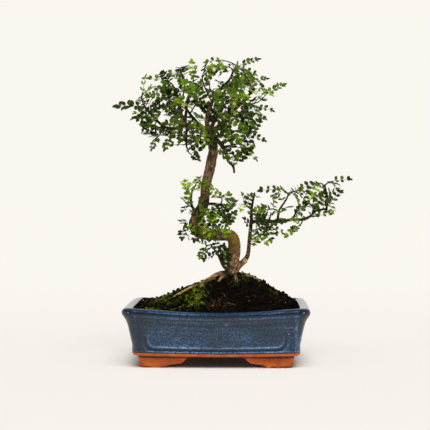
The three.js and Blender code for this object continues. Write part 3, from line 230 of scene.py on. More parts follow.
# Leafy shoots: the points of each twig, the tip of its last leaf, and how many more leaves it bears
SHOOTS = {
    "crown_spray": [
        ([(-91.8, 4, 342.4), (-97.7, -2, 348.2), (-102.8, -4, 353.1)], (-145.8, -6, 352.5), 4),
        ([(-103.6, 4, 358.7), (-106.1, 7, 366), (-105.2, 9, 372.2)], (-100.1, 10, 398.8), 2),
        ([(-57.4, -13.5, 375.8), (-62.9, -14.5, 383.8), (-69, -15, 386.8)], (-98.4, -16, 390.9), 2),
        ([(-46.8, -1.5, 371.4), (-44.9, -4, 387.5), (-49.9, -6, 398.5)], (-80.3, -10, 396.8), 4),
        ([(-84.7, 4, 334.8), (-89.5, -4, 337.9), (-92.4, -10, 341.6)], (-121, -14, 333.4), 2),
        ([(-81.6, 3.5, 331.7), (-87.9, 11, 333.7), (-93.1, 15, 332.9)], (-107.5, 20, 316.9), 2),
        ([(-73.4, 2, 325), (-79.4, -3, 314.6), (-83.4, -5, 309.4)], (-91.4, -8, 291.6), 2),
        ([(-63.2, -1.5, 322.8), (-64, -10, 314.2), (-64.9, -14, 308.9)], (-72.9, -20, 290.5), 4),
        ([(-36.2, -15.8, 372.5), (-33.6, -12, 383.9), (-32.6, -10, 393.2)], (-35.7, -8, 417.6), 4),
        ([(48.4, 0.7, 374.9), (41.8, -3, 390.4), (34.2, -4, 402.5), (20, -3, 412.8), (5.8, -2, 417)],
         (-20.6, 0, 413.1), 4),
        ([(-7.4, 4, 358.5), (-15.4, -6, 375.1), (-20.4, -12, 390), (-18.4, -15, 399.9)],
         (15, -20, 405.5), 4),
        ([(20, 2.4, 399), (26.1, 8, 405.5), (31.1, 10, 410.7)], (60.9, 12, 419.9), 3),
        ([(44.3, 2, 371), (49.4, 12, 380.3), (52.5, 14, 388.5)], (70.8, 16, 392.7), 2),
        ([(38.2, 3, 363.4), (47.4, -8, 370.8), (53.4, -12, 376.6)], (78.9, -16, 364.5), 2),
        ([(31.1, 4.5, 356.4), (44.3, 10, 356.8), (56.5, 12, 359.9), (68.7, 12, 371.1)],
         (96.2, 12, 385.2), 3),
        ([(34.2, 4, 359.5), (44.3, -4, 355.9), (54.3, -8, 352.6)], (79.7, -12, 344.2), 4),
        ([(22, 6, 346.9), (35.2, -4, 343.8), (45.8, -8, 341)], (68.6, -14, 333.5), 4),
        ([(15.9, 6, 340.3), (30.1, 14, 339.7), (40.3, 17, 338.9)], (52.5, 20, 320.7), 3),
        ([(1.7, 4, 325), (20, 7, 320.1), (35.2, 5, 315.9), (45, 3, 313.2)], (68.6, 0, 303.9), 4),
        ([(22.1, -18.6, 299.2), (31.2, -20.5, 300.4), (37.2, -22, 296.3)], (56.4, -24, 275), 2),
        ([(-42.3, -10, 297), (-39.7, -12.5, 289.8), (-34.6, -14, 284.6)], (-24.7, -20, 278.3), 4),
        ([(10.2, -50.5, 351.1), (17.2, -54.5, 355.8), (25.3, -57, 356.7)], (48.3, -62, 348.3), 4),
        ([(2, -38, 338.8), (9.1, -44, 329.4), (12.2, -46, 324.2)], (24.2, -54, 303.7), 4),
        ([(-6.2, -22, 327.6), (-11.1, -32, 321), (-13.1, -36, 315.8)], (-18, -44, 292.2), 4),
        ([(-38.7, -40, 344.8), (-46.2, -45.5, 349.5), (-53.1, -48, 351.4)], (-76.2, -52, 349.1), 4),
        ([(-32.4, -24, 333.6), (-42.3, -33, 326.1), (-47.3, -36, 322.9)], (-64.3, -44, 304.4), 4),
        ([(-36.3, -35, 341), (-29.1, -43, 351.6), (-25, -45, 361.5)], (-19.9, -52, 386.2), 4),
        ([(2.7, 4, 375.8), (13, -12, 377.7), (19.1, -20, 380.2)], (42.3, -34, 383.3), 4),
        ([(-53.4, -10, 358.8), (-61.8, -18, 358.3), (-68.8, -22, 361.1)], (-99, -30, 366.7), 4),
        ([(4.4, 54, 360.6), (11.5, 62, 368.2), (17.7, 65, 371.5)], (42.3, 72, 371.9), 3),
        ([(-2.7, 38, 342.2), (11.6, 47, 339.6), (19.8, 50, 336.7)], (42.3, 56, 317.6), 3),
        ([(-8.6, 18, 326.8), (-16.9, 31, 325.5), (-23.1, 38, 320.8)], (-41.7, 52, 301.1), 3),
        ([(-47.8, 46, 359.2), (-57.2, 54, 365.8), (-64.4, 57, 368.1)], (-89.3, 64, 365.5), 3),
        ([(-36.2, 27, 340.6), (-51.7, 33, 340), (-59.9, 36, 337.1)], (-84.6, 44, 321.2), 3),
        ([(-3.9, 4, 365.6), (-10.7, 22, 379), (-12.8, 32, 387.8)], (-19.1, 46, 413.4), 3),
        ([(5.8, 4, 378.8), (19.9, 20, 385.9), (28, 28, 389.5)], (54.6, 42, 394.5), 3),
    ],
    "middle_spray": [
        ([(-32.6, -9, 239.5), (-29.3, -10.5, 244.8), (-27.8, -12, 248.9)], (-22.2, -30, 254.9), 3),
        ([(-35.2, -7.6, 230), (-38.9, -11, 233.7), (-41.6, -13, 237.2)], (-48.2, -30, 246.7), 3),
        ([(-33.4, -4, 213.9), (-38.4, -8, 215.1), (-41.7, -11, 217.9)], (-48.4, -27, 224.9), 3),
        ([(5, -10, 216.9), (6.7, -13, 223.4), (6, -15, 227.6)], (-1.8, -30, 239.2), 3),
        ([(13, -10, 211.4), (17.6, -9, 210.1), (21.1, -9, 211.7)], (27.4, -22, 222.8), 3),
        ([(-4.3, -7.6, 218.1), (1.9, -18, 210.7), (3.9, -20, 207.6)], (19.3, -26, 192.8), 4),
        ([(-42.9, -7.4, 190.9), (-46.1, -11, 186.8), (-47.1, -13, 182)], (-47.8, -26, 168.7), 3),
        ([(-6.9, -18, 162.2), (-12.4, -19.5, 161), (-16.5, -20.5, 157.6)], (-23.6, -30, 143.7), 3),
    ],
    "right_spray": [
        ([(47.6, 3, 212.8), (41.8, 0, 215), (38, -2, 217.8)], (33.5, -12, 233.1), 3),
        ([(97.9, -5.6, 231.3), (91.8, -7, 237.3), (84.7, -7.5, 238.3)], (54.4, -8, 235.3), 3),
        ([(85.7, -4, 208.1), (76.6, -8, 211), (69.5, -9.5, 210)], (48.3, -12, 207.9), 3),
        ([(98.3, -5.7, 232.3), (105.9, -7.5, 235.3), (112, -8.5, 232.2)], (128.1, -10, 217), 3),
        ([(66.3, -2.8, 195.7), (68.7, -8, 191.6), (70.7, -11, 186.9)], (82.1, -26, 175), 4),
        ([(44.7, 0.6, 170.8), (51.3, -5, 175.8), (55.4, -8, 177.7)], (70.5, -14, 160.4), 4),
        ([(111.4, 26, 210.6), (117.6, 32, 214.3), (123.8, 34, 214.4)], (146.3, 42, 206.5), 3),
        ([(118.1, 0, 196.5), (116, -7, 190.8), (110.9, -9, 186.7)], (92.7, -13, 171.5), 2),
        ([(149.6, 3.8, 240.7), (144.5, 3, 246.2), (137.4, 2, 246.7)], (111.1, -1, 238.5), 2),
        ([(149, 4, 243.2), (153.7, 5, 247.8), (159.8, 6, 249.4)], (188.1, 7, 251.9), 3),
        ([(128.7, 2, 201.7), (132.1, -2, 200.1), (135.7, -5, 200.9)], (160.9, -8, 205.1), 2),
    ],
}

# Tiers of foliage: the size of its side leaves, and the outline seen from the front that they stay in
TIERS = {
    "crown_spray": (1, [
        (-109, 368), (-106, 391), (-71, 399), (-49, 410), (-30, 420), (6, 420), (31, 412), (53, 403),
        (65, 389), (73, 369), (73, 348), (65, 334), (62, 306), (51, 288), (36, 268), (5, 266), (-17, 282),
        (-38, 297), (-55, 297), (-92, 297), (-108, 318), (-119, 334), (-121, 357),
    ]),
    "middle_spray": (0.8, [
        (-51, 251), (-38, 257), (-20, 257), (-8, 244), (9, 241), (27, 225), (27, 204), (22, 180), (16, 168),
        (16, 129), (6, 129), (-5, 137), (-26, 137), (-27, 154), (-38, 164), (-52, 165), (-52, 204),
    ]),
    "right_spray": (0.85, [
        (33, 236), (62, 241), (91, 237), (114, 243), (148, 248), (186, 254), (178, 230), (174, 215),
        (160, 201), (139, 191), (117, 186), (101, 172), (88, 172), (73, 157), (55, 153), (38, 154),
        (34, 187), (30, 212),
    ]),
}


# Growth of the leaves, by the part's rule

def unit(vector):
    return vector / np.linalg.norm(vector)


def unit_rows(vectors):
    return vectors / np.linalg.norm(vectors, axis=1)[:, None]


class Curve:
    """A uniform Catmull-Rom curve through points, open at both ends."""

    def __init__(self, points):
        given = np.array(points, float)
        self.points = np.vstack([2 * given[0] - given[1], given, 2 * given[-1] - given[-2]])
        self.spans = len(given) - 1
        places = np.array([self.point(k / CURVE_STEPS) for k in range(CURVE_STEPS + 1)])
        self.length = float(np.linalg.norm(np.diff(places, axis=0), axis=1).sum())

    def point(self, t):
        index = int(math.floor(self.spans * t))
        weight = self.spans * t - index
        if index >= self.spans:
            index, weight = self.spans - 1, 1.0
        p0, p1, p2, p3 = self.points[index:index + 4]
        t0 = 0.5 * (p2 - p0)
        t1 = 0.5 * (p3 - p1)
        square = (-3 * p1 + 3 * p2 - 2 * t0 - t1) * weight ** 2
        return p1 + t0 * weight + square + (2 * p1 - 2 * p2 + t0 + t1) * weight ** 3

    def tangent(self, t):
        return unit(self.point(min(1, t + TANGENT_STEP)) - self.point(max(0, t - TANGENT_STEP)))


def draw(*keys):
    """One draw between 0 and 1, always the same for the same whole numbers."""
    added, first, second = DRAW_MIX
    mixed = SEED
    for key in keys:
        mixed = ((mixed ^ (key + added)) * first) & DRAW_MASK
        mixed = ((mixed ^ (mixed >> 13)) * second) & DRAW_MASK
        mixed = mixed ^ (mixed >> 16)
    return mixed / 2 ** 32


class Leaf:
    """A leaf's rib: its base, the vector to its tip before it sags, the sag, and the side it spreads to."""

    def __init__(self, base, tip, up, sag_share):
        self.base = base
        self.sag = float(np.linalg.norm(tip - base)) * sag_share
        self.reach = tip - base + UP * self.sag
        self.side = unit(np.cross(self.reach, up))
        self.length = float(np.linalg.norm(self.reach))

    def frame(self, share):
        """Places, directions and upper sides along the rib at an array of shares."""
        share = np.asarray(share, float)[:, None]
        place = self.base + self.reach * share - UP * self.sag * share * share
        tangent = self.reach - UP * 2 * self.sag * share
        return place, unit_rows(tangent), unit_rows(np.cross(self.side, tangent))

    def at(self, share, off):
        place, _, normal = self.frame(share)
        off = np.asarray(off, float)[:, None]
        return place + self.side * off * FOLD_OUT + normal * np.abs(off) * FOLD_UP

    def middle(self):
        return self.frame([MIDDLE_SHARE])[0][0]

    def petiole(self):
        return self.at(PETIOLE_SAMPLES, np.zeros(len(PETIOLE_SAMPLES)))

    def samples(self):
        """Points over the leaf, close enough together that two leaves can't cross between them."""
        pairs = 2 if self.length > LONG_LEAF else 1
        step = PAIR_STEP_LONG if pairs == 2 else PAIR_STEP_SHORT
        reach = self.length * LEAFLET_SHARE
        shares, offs = list(RIB_SAMPLES), [0] * len(RIB_SAMPLES)
        last = PETIOLE_SHARE + pairs * step
        for sign in (-1, 1):
            for i in range(pairs):
                start = PETIOLE_SHARE + i * step
                corner, point = start + LEAFLET_CORNER[0] * step, start + LEAFLET_POINT[0] * step
                middle = (corner + point) / 2
                shares += [corner, point, middle, (start + middle) / 2, middle + 0.05]
                offs += [sign * reach * part for part in SIDE_SAMPLES]
            shares.append(last + END_SHOULDER[0] * (1 - last))
            offs.append(sign * END_SHOULDER[1] * reach)
        return self.at(shares, offs)


class Room:
    """Points already taken, each with the tag of what holds it."""

    def __init__(self, clearance):
        self.clearance = clearance
        self.taken = np.zeros((MOST_TAKEN, 3))
        self.tags = np.zeros(MOST_TAKEN, int)
        self.count = 0

    def fill(self, points, tag):
        self.taken[self.count:self.count + len(points)] = points
        self.tags[self.count:self.count + len(points)] = tag
        self.count += len(points)

    def is_free(self, points, own_tag, clearance=None):
        clearance = clearance or self.clearance
        low, high = points.min(0) - clearance, points.max(0) + clearance
        taken = self.taken[:self.count]
        near = (taken > low).all(1) & (taken < high).all(1) & (self.tags[:self.count] != own_tag)
        apart = points[:, None] - taken[near][None]
        return not ((apart ** 2).sum(2) < clearance ** 2).any()


def radius_at(stem, t):
    spans = len(stem) - 1
    index = min(spans - 1, int(math.floor(t * spans)))
    return stem[index][3] + (stem[index + 1][3] - stem[index][3]) * (t * spans - index)


def ring_around(place, first, second, radius, sides):
    angle = 2 * np.pi * np.arange(sides)[:, None] / sides
    return place + radius * (first * np.cos(angle) + second * np.sin(angle))


def round_a_stem(tangent):
    """Two directions square to a stem, always the same for the same tangent."""
    first = unit(np.cross(ROUND_FROM, tangent))
    return first, np.cross(tangent, first)


def fill_wood(room):
    """Rings of points over the wood, a little under its surface."""
    for stem in [TRUNK, *LIMBS]:
        curve = Curve([point[:3] for point in stem])
        steps = (len(stem) - 1) * WOOD_STEPS
        for k in range(steps + 1):
            radius = radius_at(stem, k / steps)
            first, second = round_a_stem(curve.tangent(k / steps))
            place = curve.point(k / steps)
            ring = ring_around(place, first, second, radius * WOOD_DEPTH, math.ceil(radius * 2))
            room.fill(ring, WOOD_TAG)


def is_inside(x, z, edge):
    """Whether a place seen from the front is inside a tier's outline."""
    inside = False
    for (ax, az), (bx, bz) in zip(edge, [*edge[1:], edge[0]]):
        if (az > z) != (bz > z) and x < ax + (bx - ax) * (z - az) / (bz - az):
            inside = not inside
    return inside


def face_way(tip, tilt_x=0.0, tilt_y=0.0):
    """The way the upper face of a leaf looks: up, a little outward, and to the front."""
    outward = unit(tip - CROWN_CENTRE) * FACE_OUTWARD
    return unit(np.array([outward[0] + tilt_x, outward[1] - FACE_FRONT + tilt_y, 1]))


class Shoot:
    """A twig and the leaves that grow from it, inside its tier's outline."""

    def __init__(self, name, twig, tip, count, tier, tag):
        self.name = name
        self.curve = Curve(twig)
        self.tip = np.array(tip, float)
        self.count = count
        self.size, self.edge = TIERS[tier]
        self.tag = tag
        self.leaves = []
        self.gap_level = 1
        self.bare = 0

    def side_leaf(self, number, attempt, from_end):
        """A leaf on the side of the twig, one of many poses that the draws give, and where it starts."""
        roll = [draw(self.tag, number, attempt, channel) for channel in range(8)]
        t = 1 - from_end(roll[1]) / self.curve.length
        base, tangent = self.curve.point(t), self.curve.tangent(t)
        first, second = round_a_stem(tangent)
        around = (number + attempt) * GOLDEN_ANGLE + roll[2]
        lean = SIDE_LEAF_LEAN[0] + SIDE_LEAF_LEAN[1] * roll[3]
        sideways = first * math.cos(around) + second * math.sin(around)
        share = SIDE_LEAF_RANGE[0] + SIDE_LEAF_RANGE[1] * roll[4]
        cramped = SIDE_LEAF_RANGE[2] if attempt > LEAF_TRIES / 2 else 1
        length = SIDE_LEAF_LENGTH * share * cramped * self.size
        tip = base + length * (tangent * math.cos(lean) + sideways * math.sin(lean))
        up = face_way(tip, roll[5] - 0.5, roll[6] - 0.5)
        return Leaf(base, tip, up, SIDE_LEAF_SAG[0] + SIDE_LEAF_SAG[1] * roll[7]), tip, t

    def keep(self, leaf, room):
        self.leaves.append(leaf)
        room.fill(leaf.petiole(), self.tag)
        room.fill(leaf.samples(), self.tag * MOST_LEAVES + len(self.leaves))


def grow_side_leaf(shoot, number, room):
    """One more leaf on the side of a twig, at the first of its poses that has room."""
    twig_length = shoot.curve.length
    step = max(LEAF_STEP_SHARE * twig_length, LEAF_STEP_LEAST)

    def from_end(jitter):
        return LEAF_STEP_FIRST + (number - 1) * step + LEAF_STEP_JITTER * step * jitter

    for attempt in range(LEAF_TRIES):
        leaf, tip, t = shoot.side_leaf(number, attempt, from_end)
        if t * twig_length < TWIG_HIDDEN:
            return
        if not is_inside(tip[0], tip[2], shoot.edge):
            continue
        if room.is_free(leaf.samples(), NO_TAG) and room.is_free(leaf.petiole(), shoot.tag):
            shoot.keep(leaf, room)
            return


def grow_shoots():
    """All shoots with the poses of all their leaves, the same as in the part's source."""
    shoots = []
    for tier, specs in SHOOTS.items():
        for index, (twig, tip, count) in enumerate(specs):
            shoots.append(Shoot(f"{tier}_{index + 1:02d}", twig, tip, count, tier, len(shoots) + 1))
    room = Room(LEAF_CLEARANCE)
    fill_wood(room)
    for shoot in shoots:
        steps = (shoot.curve.spans + 1) * TWIG_LINE_STEPS
        room.fill(np.array([shoot.curve.point(k / steps) for k in range(steps + 1)]), shoot.tag)
    for shoot in shoots:
        shoot.keep(Leaf(shoot.curve.point(1), shoot.tip, face_way(shoot.tip), END_LEAF_SAG), room)
    for number in range(1, MOST_SIDE_LEAVES + 1):
        for shoot in shoots:
            if number <= shoot.count:
                grow_side_leaf(shoot, number, room)
    return shoots, room


# More leaves than the solids have: on the same twigs, and on short spurs along the thin limbs

MORE_ON_TWIG = {"crown_spray": 1, "middle_spray": 1, "right_spray": 0}
MORE_TRIES = 16
MORE_CLEARANCE = 1.9
# Part of a twig or a spur, from its foot, that bears no further leaves
BARE_TWIG = 0.2
BARE_SPUR = 0.5
# Tags that the draws of the further shoots start from
TWIG_TAG = 1000
LIMB_TAG = 1100
TAGS_A_LIMB = 40
TRUNK_TAG = 4000
PLACED_TAG = 4100
FRESH_TAG = 4900
# Gaps between the further leaves: size, its shares along the axes, and the noise above which they lie
GAP_SIZE = 27
GAP_SHARES = [1, 0.6, 1.15]
GAP_LEVEL = {"crown_spray": 0.16, "middle_spray": 0.3, "right_spray": 0.45}
# How much of the crown's outline the spurs on its limbs fill, so that its fringe stays feathery
CROWN_FILLED = 0.83
# Places that stay open, so that the branches show: middle across and up, and reach; and how far back
OPENINGS = [((-7, 307), 12), ((-4, 295), 9), ((-53, 352), 11), ((-47, 338), 9), ((-40, 362), 7),
            ((10, 350), 8), ((27, 357), 7), ((-62, 330), 7)]
OPENINGS_BACK = 6
SPUR_PITCH = 13
SPUR_LENGTH = (3.5, 7.5)
SPUR_FORWARD = 0.5
SPUR_UPWARD = 0.25
SPUR_RISE = 0.2
SPUR_LEAVES = {"crown_spray": 2, "middle_spray": 1, "right_spray": 1}
# Stems whose spurs bear leaves, by tier: index in LIMBS, and the part of its length that is leafy
SPUR_LIMBS = {
    "crown_spray": [
        (0, 0.25, 1), (1, 0, 1), (2, 0, 1), (3, 0, 1), (4, 0.3, 1), (5, 0.1, 1), (6, 0, 1), (7, 0.25, 0.95),
        (8, 0, 1), (9, 0.15, 1), (10, 0.1, 1), (11, 0.1, 1), (12, 0.1, 1), (13, 0.1, 1),
    ],
    "middle_spray": [(19, 0.25, 1), (20, 0.1, 1), (21, 0.1, 1), (22, 0.35, 1)],
    "right_spray": [(14, 0.5, 1), (15, 0.05, 1), (16, 0.1, 1), (17, 0.1, 1), (18, 0, 1)],
}
# Foot, direction and length of the stalk of a young leaf in front of the trunk's bend, and the leaf's tip
FRESH_STALK = [(-26, -8.5, 197), (0.4, -1, 0.2), 3]
FRESH_TIP = (-8, -17, 167)
# Spurs that sprout from the trunk's bends and its foot: where, and which way
TRUNK_SPUR_LEAVES = 2
TRUNK_SPURS = [
    ((-19, -6, 181), (0.2, -1, 0.4)), ((-8, -11, 178), (-0.1, -1, 0.6)), ((2, -11, 180), (0.3, -1, 0.5)),
    ((-30, -7, 196), (-0.2, -1, 0.2)), ((-26, -7, 186), (-0.4, -1, -0.4)),
    ((-13, -8, 172), (0.1, -1, -0.7)), ((9, -10, 181), (0.3, -0.8, 0.7)),
    ((-21, -6, 203), (0.6, -0.9, 0.3)), ((-2, -10, 169), (0, -1, -0.7)), ((12, -9, 136), (-0.7, -0.8, 0.5)),
    ((14, -10, 128), (-0.5, -1, 0.1)), ((-33, -5, 206), (-0.8, -0.7, 0.4)),
    ((-16, -9, 190), (0.1, -1, 0.1)), ((-25, -7, 178), (-0.3, -1, -0.5)),
    ((-6, -10, 184), (0.2, -0.8, 0.8)), ((6, -10, 172), (0.3, -1, -0.5)),
    ((14, -10, 180), (0.4, -0.8, 0.6)), ((-12, -8, 205), (0.9, -0.7, 0.2)),
]
# Leafy twigs that droop under the crown, or grow at the stem and the branch on the right: where from,
# which way, and length
PLACED_SPUR_LEAVES = 3
PLACED_SPURS = {
    "crown_spray": [
        ((-73, 2, 325), (-0.2, -0.6, -1), 15), ((-60, -3, 322), (-0.3, -0.8, -0.9), 18),
        ((-48, -8, 326), (0, -0.8, -1), 14), ((-34, -7, 325), (0.2, -0.7, -1), 13),
        ((-84, 3, 334), (-0.5, -0.5, -1), 14), ((-66, 0, 323), (0, 0.5, -1), 16),
        ((-41, -9, 312), (-0.8, -0.5, -0.4), 12), ((-42, -10, 302), (-0.7, -0.6, -0.5), 10),
        ((-54, -5, 323), (0.1, 0.7, -1), 14), ((-42, -10, 306), (0.8, -0.5, -0.3), 10),
        ((4, -8, 303), (1, -0.5, 0.4), 11), ((13, -11, 284), (0.9, -0.7, -0.4), 12),
        ((5, 3, 328), (0.7, -0.8, -0.7), 13), ((18, -12, 273), (0.9, -0.8, -0.1), 12),
        ((7, -10, 296), (0.4, -1, -0.4), 9), ((21, -19, 299), (0.9, -0.6, -0.5), 11),
    ],
    "right_spray": [
        ((45, 0, 181), (1, -0.5, 0.15), 20), ((44, 0, 170), (1, -0.6, 0.05), 14),
        ((44, 0, 163), (0.9, -0.8, -0.2), 9), ((66, -2, 194), (0.4, -0.7, -1), 10),
        ((54, -1, 194), (0.3, -0.9, -0.8), 9), ((72, -3, 194), (0.2, -0.8, 1), 13),
        ((151, 2, 220), (0.9, -0.6, -0.1), 8), ((45, 1, 200), (0.8, -0.7, 0.4), 9),
    ],
}


def spur(tier, place, way, length, tag):
    """A short side twig that curves up a little."""
    place, heading = np.array(place, float), unit(np.array(way, float))
    twig = [place, place + heading * length * 0.5, place + heading * length + UP * length * SPUR_RISE]
    extra = Shoot(f"{tier}_more", twig, twig[-1], 0, tier, tag)
    extra.bare = BARE_SPUR
    return extra


def inner_part(edge):
    """The crown's outline drawn in towards its middle."""
    x, _, z = CROWN_CENTRE
    return [(x + (px - x) * CROWN_FILLED, z + (pz - z) * CROWN_FILLED) for px, pz in edge]


def spurs_on_limb(tier, index, low, high):
    """Spurs spaced evenly along the leafy part of a limb, each turned round it from the last."""
    curve = Curve([point[:3] for point in LIMBS[index]])
    count = max(1, round(curve.length * (high - low) / SPUR_PITCH))
    spurs = []
    for k in range(count):
        t = low + (high - low) * (k + 0.5) / count
        tag = LIMB_TAG + TAGS_A_LIMB * index + k
        first, second = round_a_stem(curve.tangent(t))
        around = k * GOLDEN_ANGLE + 2 * math.pi * draw(tag, 1)
        sideways = first * math.cos(around) + second * math.sin(around)
        way = sideways + SPUR_FORWARD * curve.tangent(t) + SPUR_UPWARD * UP
        length = SPUR_LENGTH[0] + (SPUR_LENGTH[1] - SPUR_LENGTH[0]) * draw(tag, 2)
        extra = spur(tier, curve.point(t), way, length, tag)
        extra.gap_level = GAP_LEVEL[tier]
        if tier == "crown_spray":
            extra.edge = inner_part(extra.edge)
        spurs.append(extra)
    return spurs


def is_gap(place, level):
    """Whether a place is kept free of further leaves."""
    if noise.noise(Vector(place * GAP_SHARES / GAP_SIZE)) > level:
        return True
    open_here = [math.hypot(place[0] - x, place[2] - z) < reach for (x, z), reach in OPENINGS]
    return place[1] < OPENINGS_BACK and any(open_here)


def grow_extra_leaf(shoot, number, room):
    def from_end(jitter):
        return shoot.curve.length * (1 - shoot.bare) * jitter

    for attempt in range(MORE_TRIES):
        leaf, tip, _ = shoot.side_leaf(number, attempt, from_end)
        middle = leaf.middle()
        if not is_inside(tip[0], tip[2], shoot.edge) or not is_inside(middle[0], middle[2], shoot.edge):
            continue
        if is_gap(middle, shoot.gap_level):
            return
        if room.is_free(leaf.samples(), NO_TAG, MORE_CLEARANCE):
            shoot.keep(leaf, room)
            return


def fresh_leaf(room):
    """A young leaf that hangs in front of the trunk's bend."""
    shoot = spur("middle_spray", *FRESH_STALK, FRESH_TAG)
    tip = np.array(FRESH_TIP, float)
    shoot.keep(Leaf(shoot.curve.point(1), tip, face_way(tip), END_LEAF_SAG), room)
    return shoot


def grow_more(shoots, room):
    """Leaves beyond those of the solids, as new shoots that keep a smaller distance."""
    more = []
    for shoot in shoots:
        tier = shoot.name[:-3]
        extra = Shoot(f"{tier}_more", shoot.curve.points[1:-1], shoot.tip, 0, tier, TWIG_TAG + shoot.tag)
        extra.bare = BARE_TWIG
        extra.gap_level = GAP_LEVEL[tier]
        more.append((extra, MORE_ON_TWIG[tier]))
    for tier, limbs in SPUR_LIMBS.items():
        for limb in limbs:
            more += [(extra, SPUR_LEAVES[tier]) for extra in spurs_on_limb(tier, *limb)]
    for k, (place, way) in enumerate(TRUNK_SPURS):
        more.append((spur("middle_spray", place, way, SPUR_LENGTH[1], TRUNK_TAG + k), TRUNK_SPUR_LEAVES))
    for tier, spurs in PLACED_SPURS.items():
        for place, way, length in spurs:
            more.append((spur(tier, place, way, length, PLACED_TAG + len(more)), PLACED_SPUR_LEAVES))
    for extra, count in more:
        for number in range(1, count + 1):
            grow_extra_leaf(extra, number, room)
    return [extra for extra, _ in more if extra.leaves] + [fresh_leaf(room)]


# Helpers for meshes

OCTAVE_SHIFT = 31.7
# Ends of a tube, as shares of its radius there
TUBE_ENDS = (0.3, 0.5)


def placed(points):
    """Points in millimetres from the pot's middle, as metres in the shared frame."""
    return (np.asarray(points, float) + POT_MIDDLE) * MM


def mesh_piece(name, points, faces, materials, sharp_angle=50):
    """A new object from points in millimetres and faces of one size, smooth except at sharp edges."""
    mesh = bpy.data.meshes.new(name)
    mesh.from_pydata(placed(points).tolist(), [], [list(face) for face in faces])
    finish_mesh(mesh, materials, sharp_angle)
    made = bpy.data.objects.new(name, mesh)
    bpy.context.scene.collection.objects.link(made)
    return made


def finish_mesh(mesh, materials, sharp_angle):
    mesh.materials.clear()
    for material in materials:
        mesh.materials.append(material)
    mesh.validate()
    mesh.shade_smooth()
    mesh.set_sharp_from_angle(angle=math.radians(sharp_angle))


def write_values(mesh, **values):
    """Numbers for each point of a mesh, which its material reads by name."""
    for name, numbers in values.items():
        layer = mesh.attributes.new(name, "FLOAT", "POINT")
        layer.data.foreach_set("value", np.asarray(numbers, np.float32))


def read_vectors(mesh, name):
    flat = np.zeros(len(mesh.vertices) * 3)
    mesh.vertices.foreach_get(name, flat)
    return flat.reshape(-1, 3)


def points_of(mesh):
    return read_vectors(mesh, "co") / MM - POT_MIDDLE


def move_points(mesh, points):
    mesh.vertices.foreach_set("co", placed(points).astype(np.float32).ravel())
    mesh.update()


def apply_modifier(target, kind, **settings):
    """Adds a modifier to an object and makes its result the object's mesh."""
    modifier = target.modifiers.new(kind.lower(), kind)
    for key, value in settings.items():
        setattr(modifier, key, value)
    bpy.context.view_layer.update()
    evaluated = target.evaluated_get(bpy.context.evaluated_depsgraph_get())
    mesh = bpy.data.meshes.new_from_object(evaluated)
    target.modifiers.clear()
    old = target.data
    target.data = mesh
    bpy.data.meshes.remove(old)


def cut_or_join(target, tool, operation):
    apply_modifier(target, "BOOLEAN", operation=operation, solver="MANIFOLD", object=tool)
    bpy.data.objects.remove(tool)


def noise_at(points, size, octaves=1, shift=0.0):
    """Smooth noise between about -1 and 1 at points, with features of a size in millimetres."""
    values = np.zeros(len(points))
    for octave in range(octaves):
        scaled = points / (size / 2 ** octave) + shift + OCTAVE_SHIFT * octave
        values += np.array([noise.noise(Vector(point)) for point in scaled.tolist()]) / 2 ** octave
    return values


def rising(values, start, reach):
    """From 0 at start to 1 where the values are further by reach."""
    return np.clip((values - start) / reach, 0, 1)


def bands(values, table):
    """A sum of soft bands, each with its middle, width and strength."""
    return sum(strength * np.exp(-((values - middle) / width) ** 2) for middle, width, strength in table)


def grid_faces(rings, count):
    """Faces that join rings of count points each, one after the other."""
    columns = np.arange(count)
    following = (columns + 1) % count
    faces = []
    for low in range(0, (rings - 1) * count, count):
        high = low + count
        faces.append(np.stack([low + columns, low + following, high + following, high + columns], 1))
    return np.concatenate(faces)


def capped(rings, first_centre, last_centre):
    """Points and faces of rings joined into a closed skin, with a fan over the first and the last."""
    count = len(rings[0])
    points = np.concatenate([*rings, [first_centre], [last_centre]])
    first, last = len(points) - 2, len(points) - 1
    faces = grid_faces(len(rings), count).tolist()
    for i in range(count):
        j = (i + 1) % count
        faces.append([first, j, i])
        faces.append([last, last - 1 - count + i, last - 1 - count + j])
    return points, faces


def merged(parts):
    """Several (points, faces) as one."""
    points, faces, start = [], [], 0
    for part_points, part_faces in parts:
        points.append(np.asarray(part_points))
        faces += [[index + start for index in face] for face in part_faces]
        start += len(part_points)
    return np.concatenate(points), faces


def copies(template, template_faces, frames, places):
    """One template shape repeated: template points times each 3x3 frame, at each place."""
    points = np.einsum("vk,nkj->nvj", template, frames) + places[:, None, :]
    starts = np.arange(len(places)) * len(template)
    faces = [[index + start for index in face] for start in starts.tolist() for face in template_faces]
    return points.reshape(-1, 3), faces


def tube(places, radii, sides, flat=1.0):
    """A closed round stem through places, with a radius at each; flat squeezes it across."""
    places = np.asarray(places, float)
    radii = np.broadcast_to(radii, len(places))
    tangents = unit_rows(np.gradient(places, axis=0))
    sideways = np.cross(ROUND_FROM, tangents[0])
    angle = 2 * np.pi * np.arange(sides)[:, None] / sides
    rings = []
    for place, tangent, radius in zip(places, tangents, radii):
        sideways = unit(sideways - tangent * sideways.dot(tangent))
        third = np.cross(tangent, sideways)
        rings.append(place + radius * (sideways * np.cos(angle) + third * np.sin(angle) * flat))
    first = places[0] - tangents[0] * radii[0] * TUBE_ENDS[0]
    return capped(rings, first, places[-1] + tangents[-1] * radii[-1] * TUBE_ENDS[1])


# Helpers for materials

def colour(code):
    """A web colour as linear red, green, blue and alpha."""
    values = [int(code[i:i + 2], 16) / 255 for i in (0, 2, 4)]
    linear = [value / 12.92 if value <= 0.04045 else ((value + 0.055) / 1.055) ** 2.4 for value in values]
    return linear + [1]


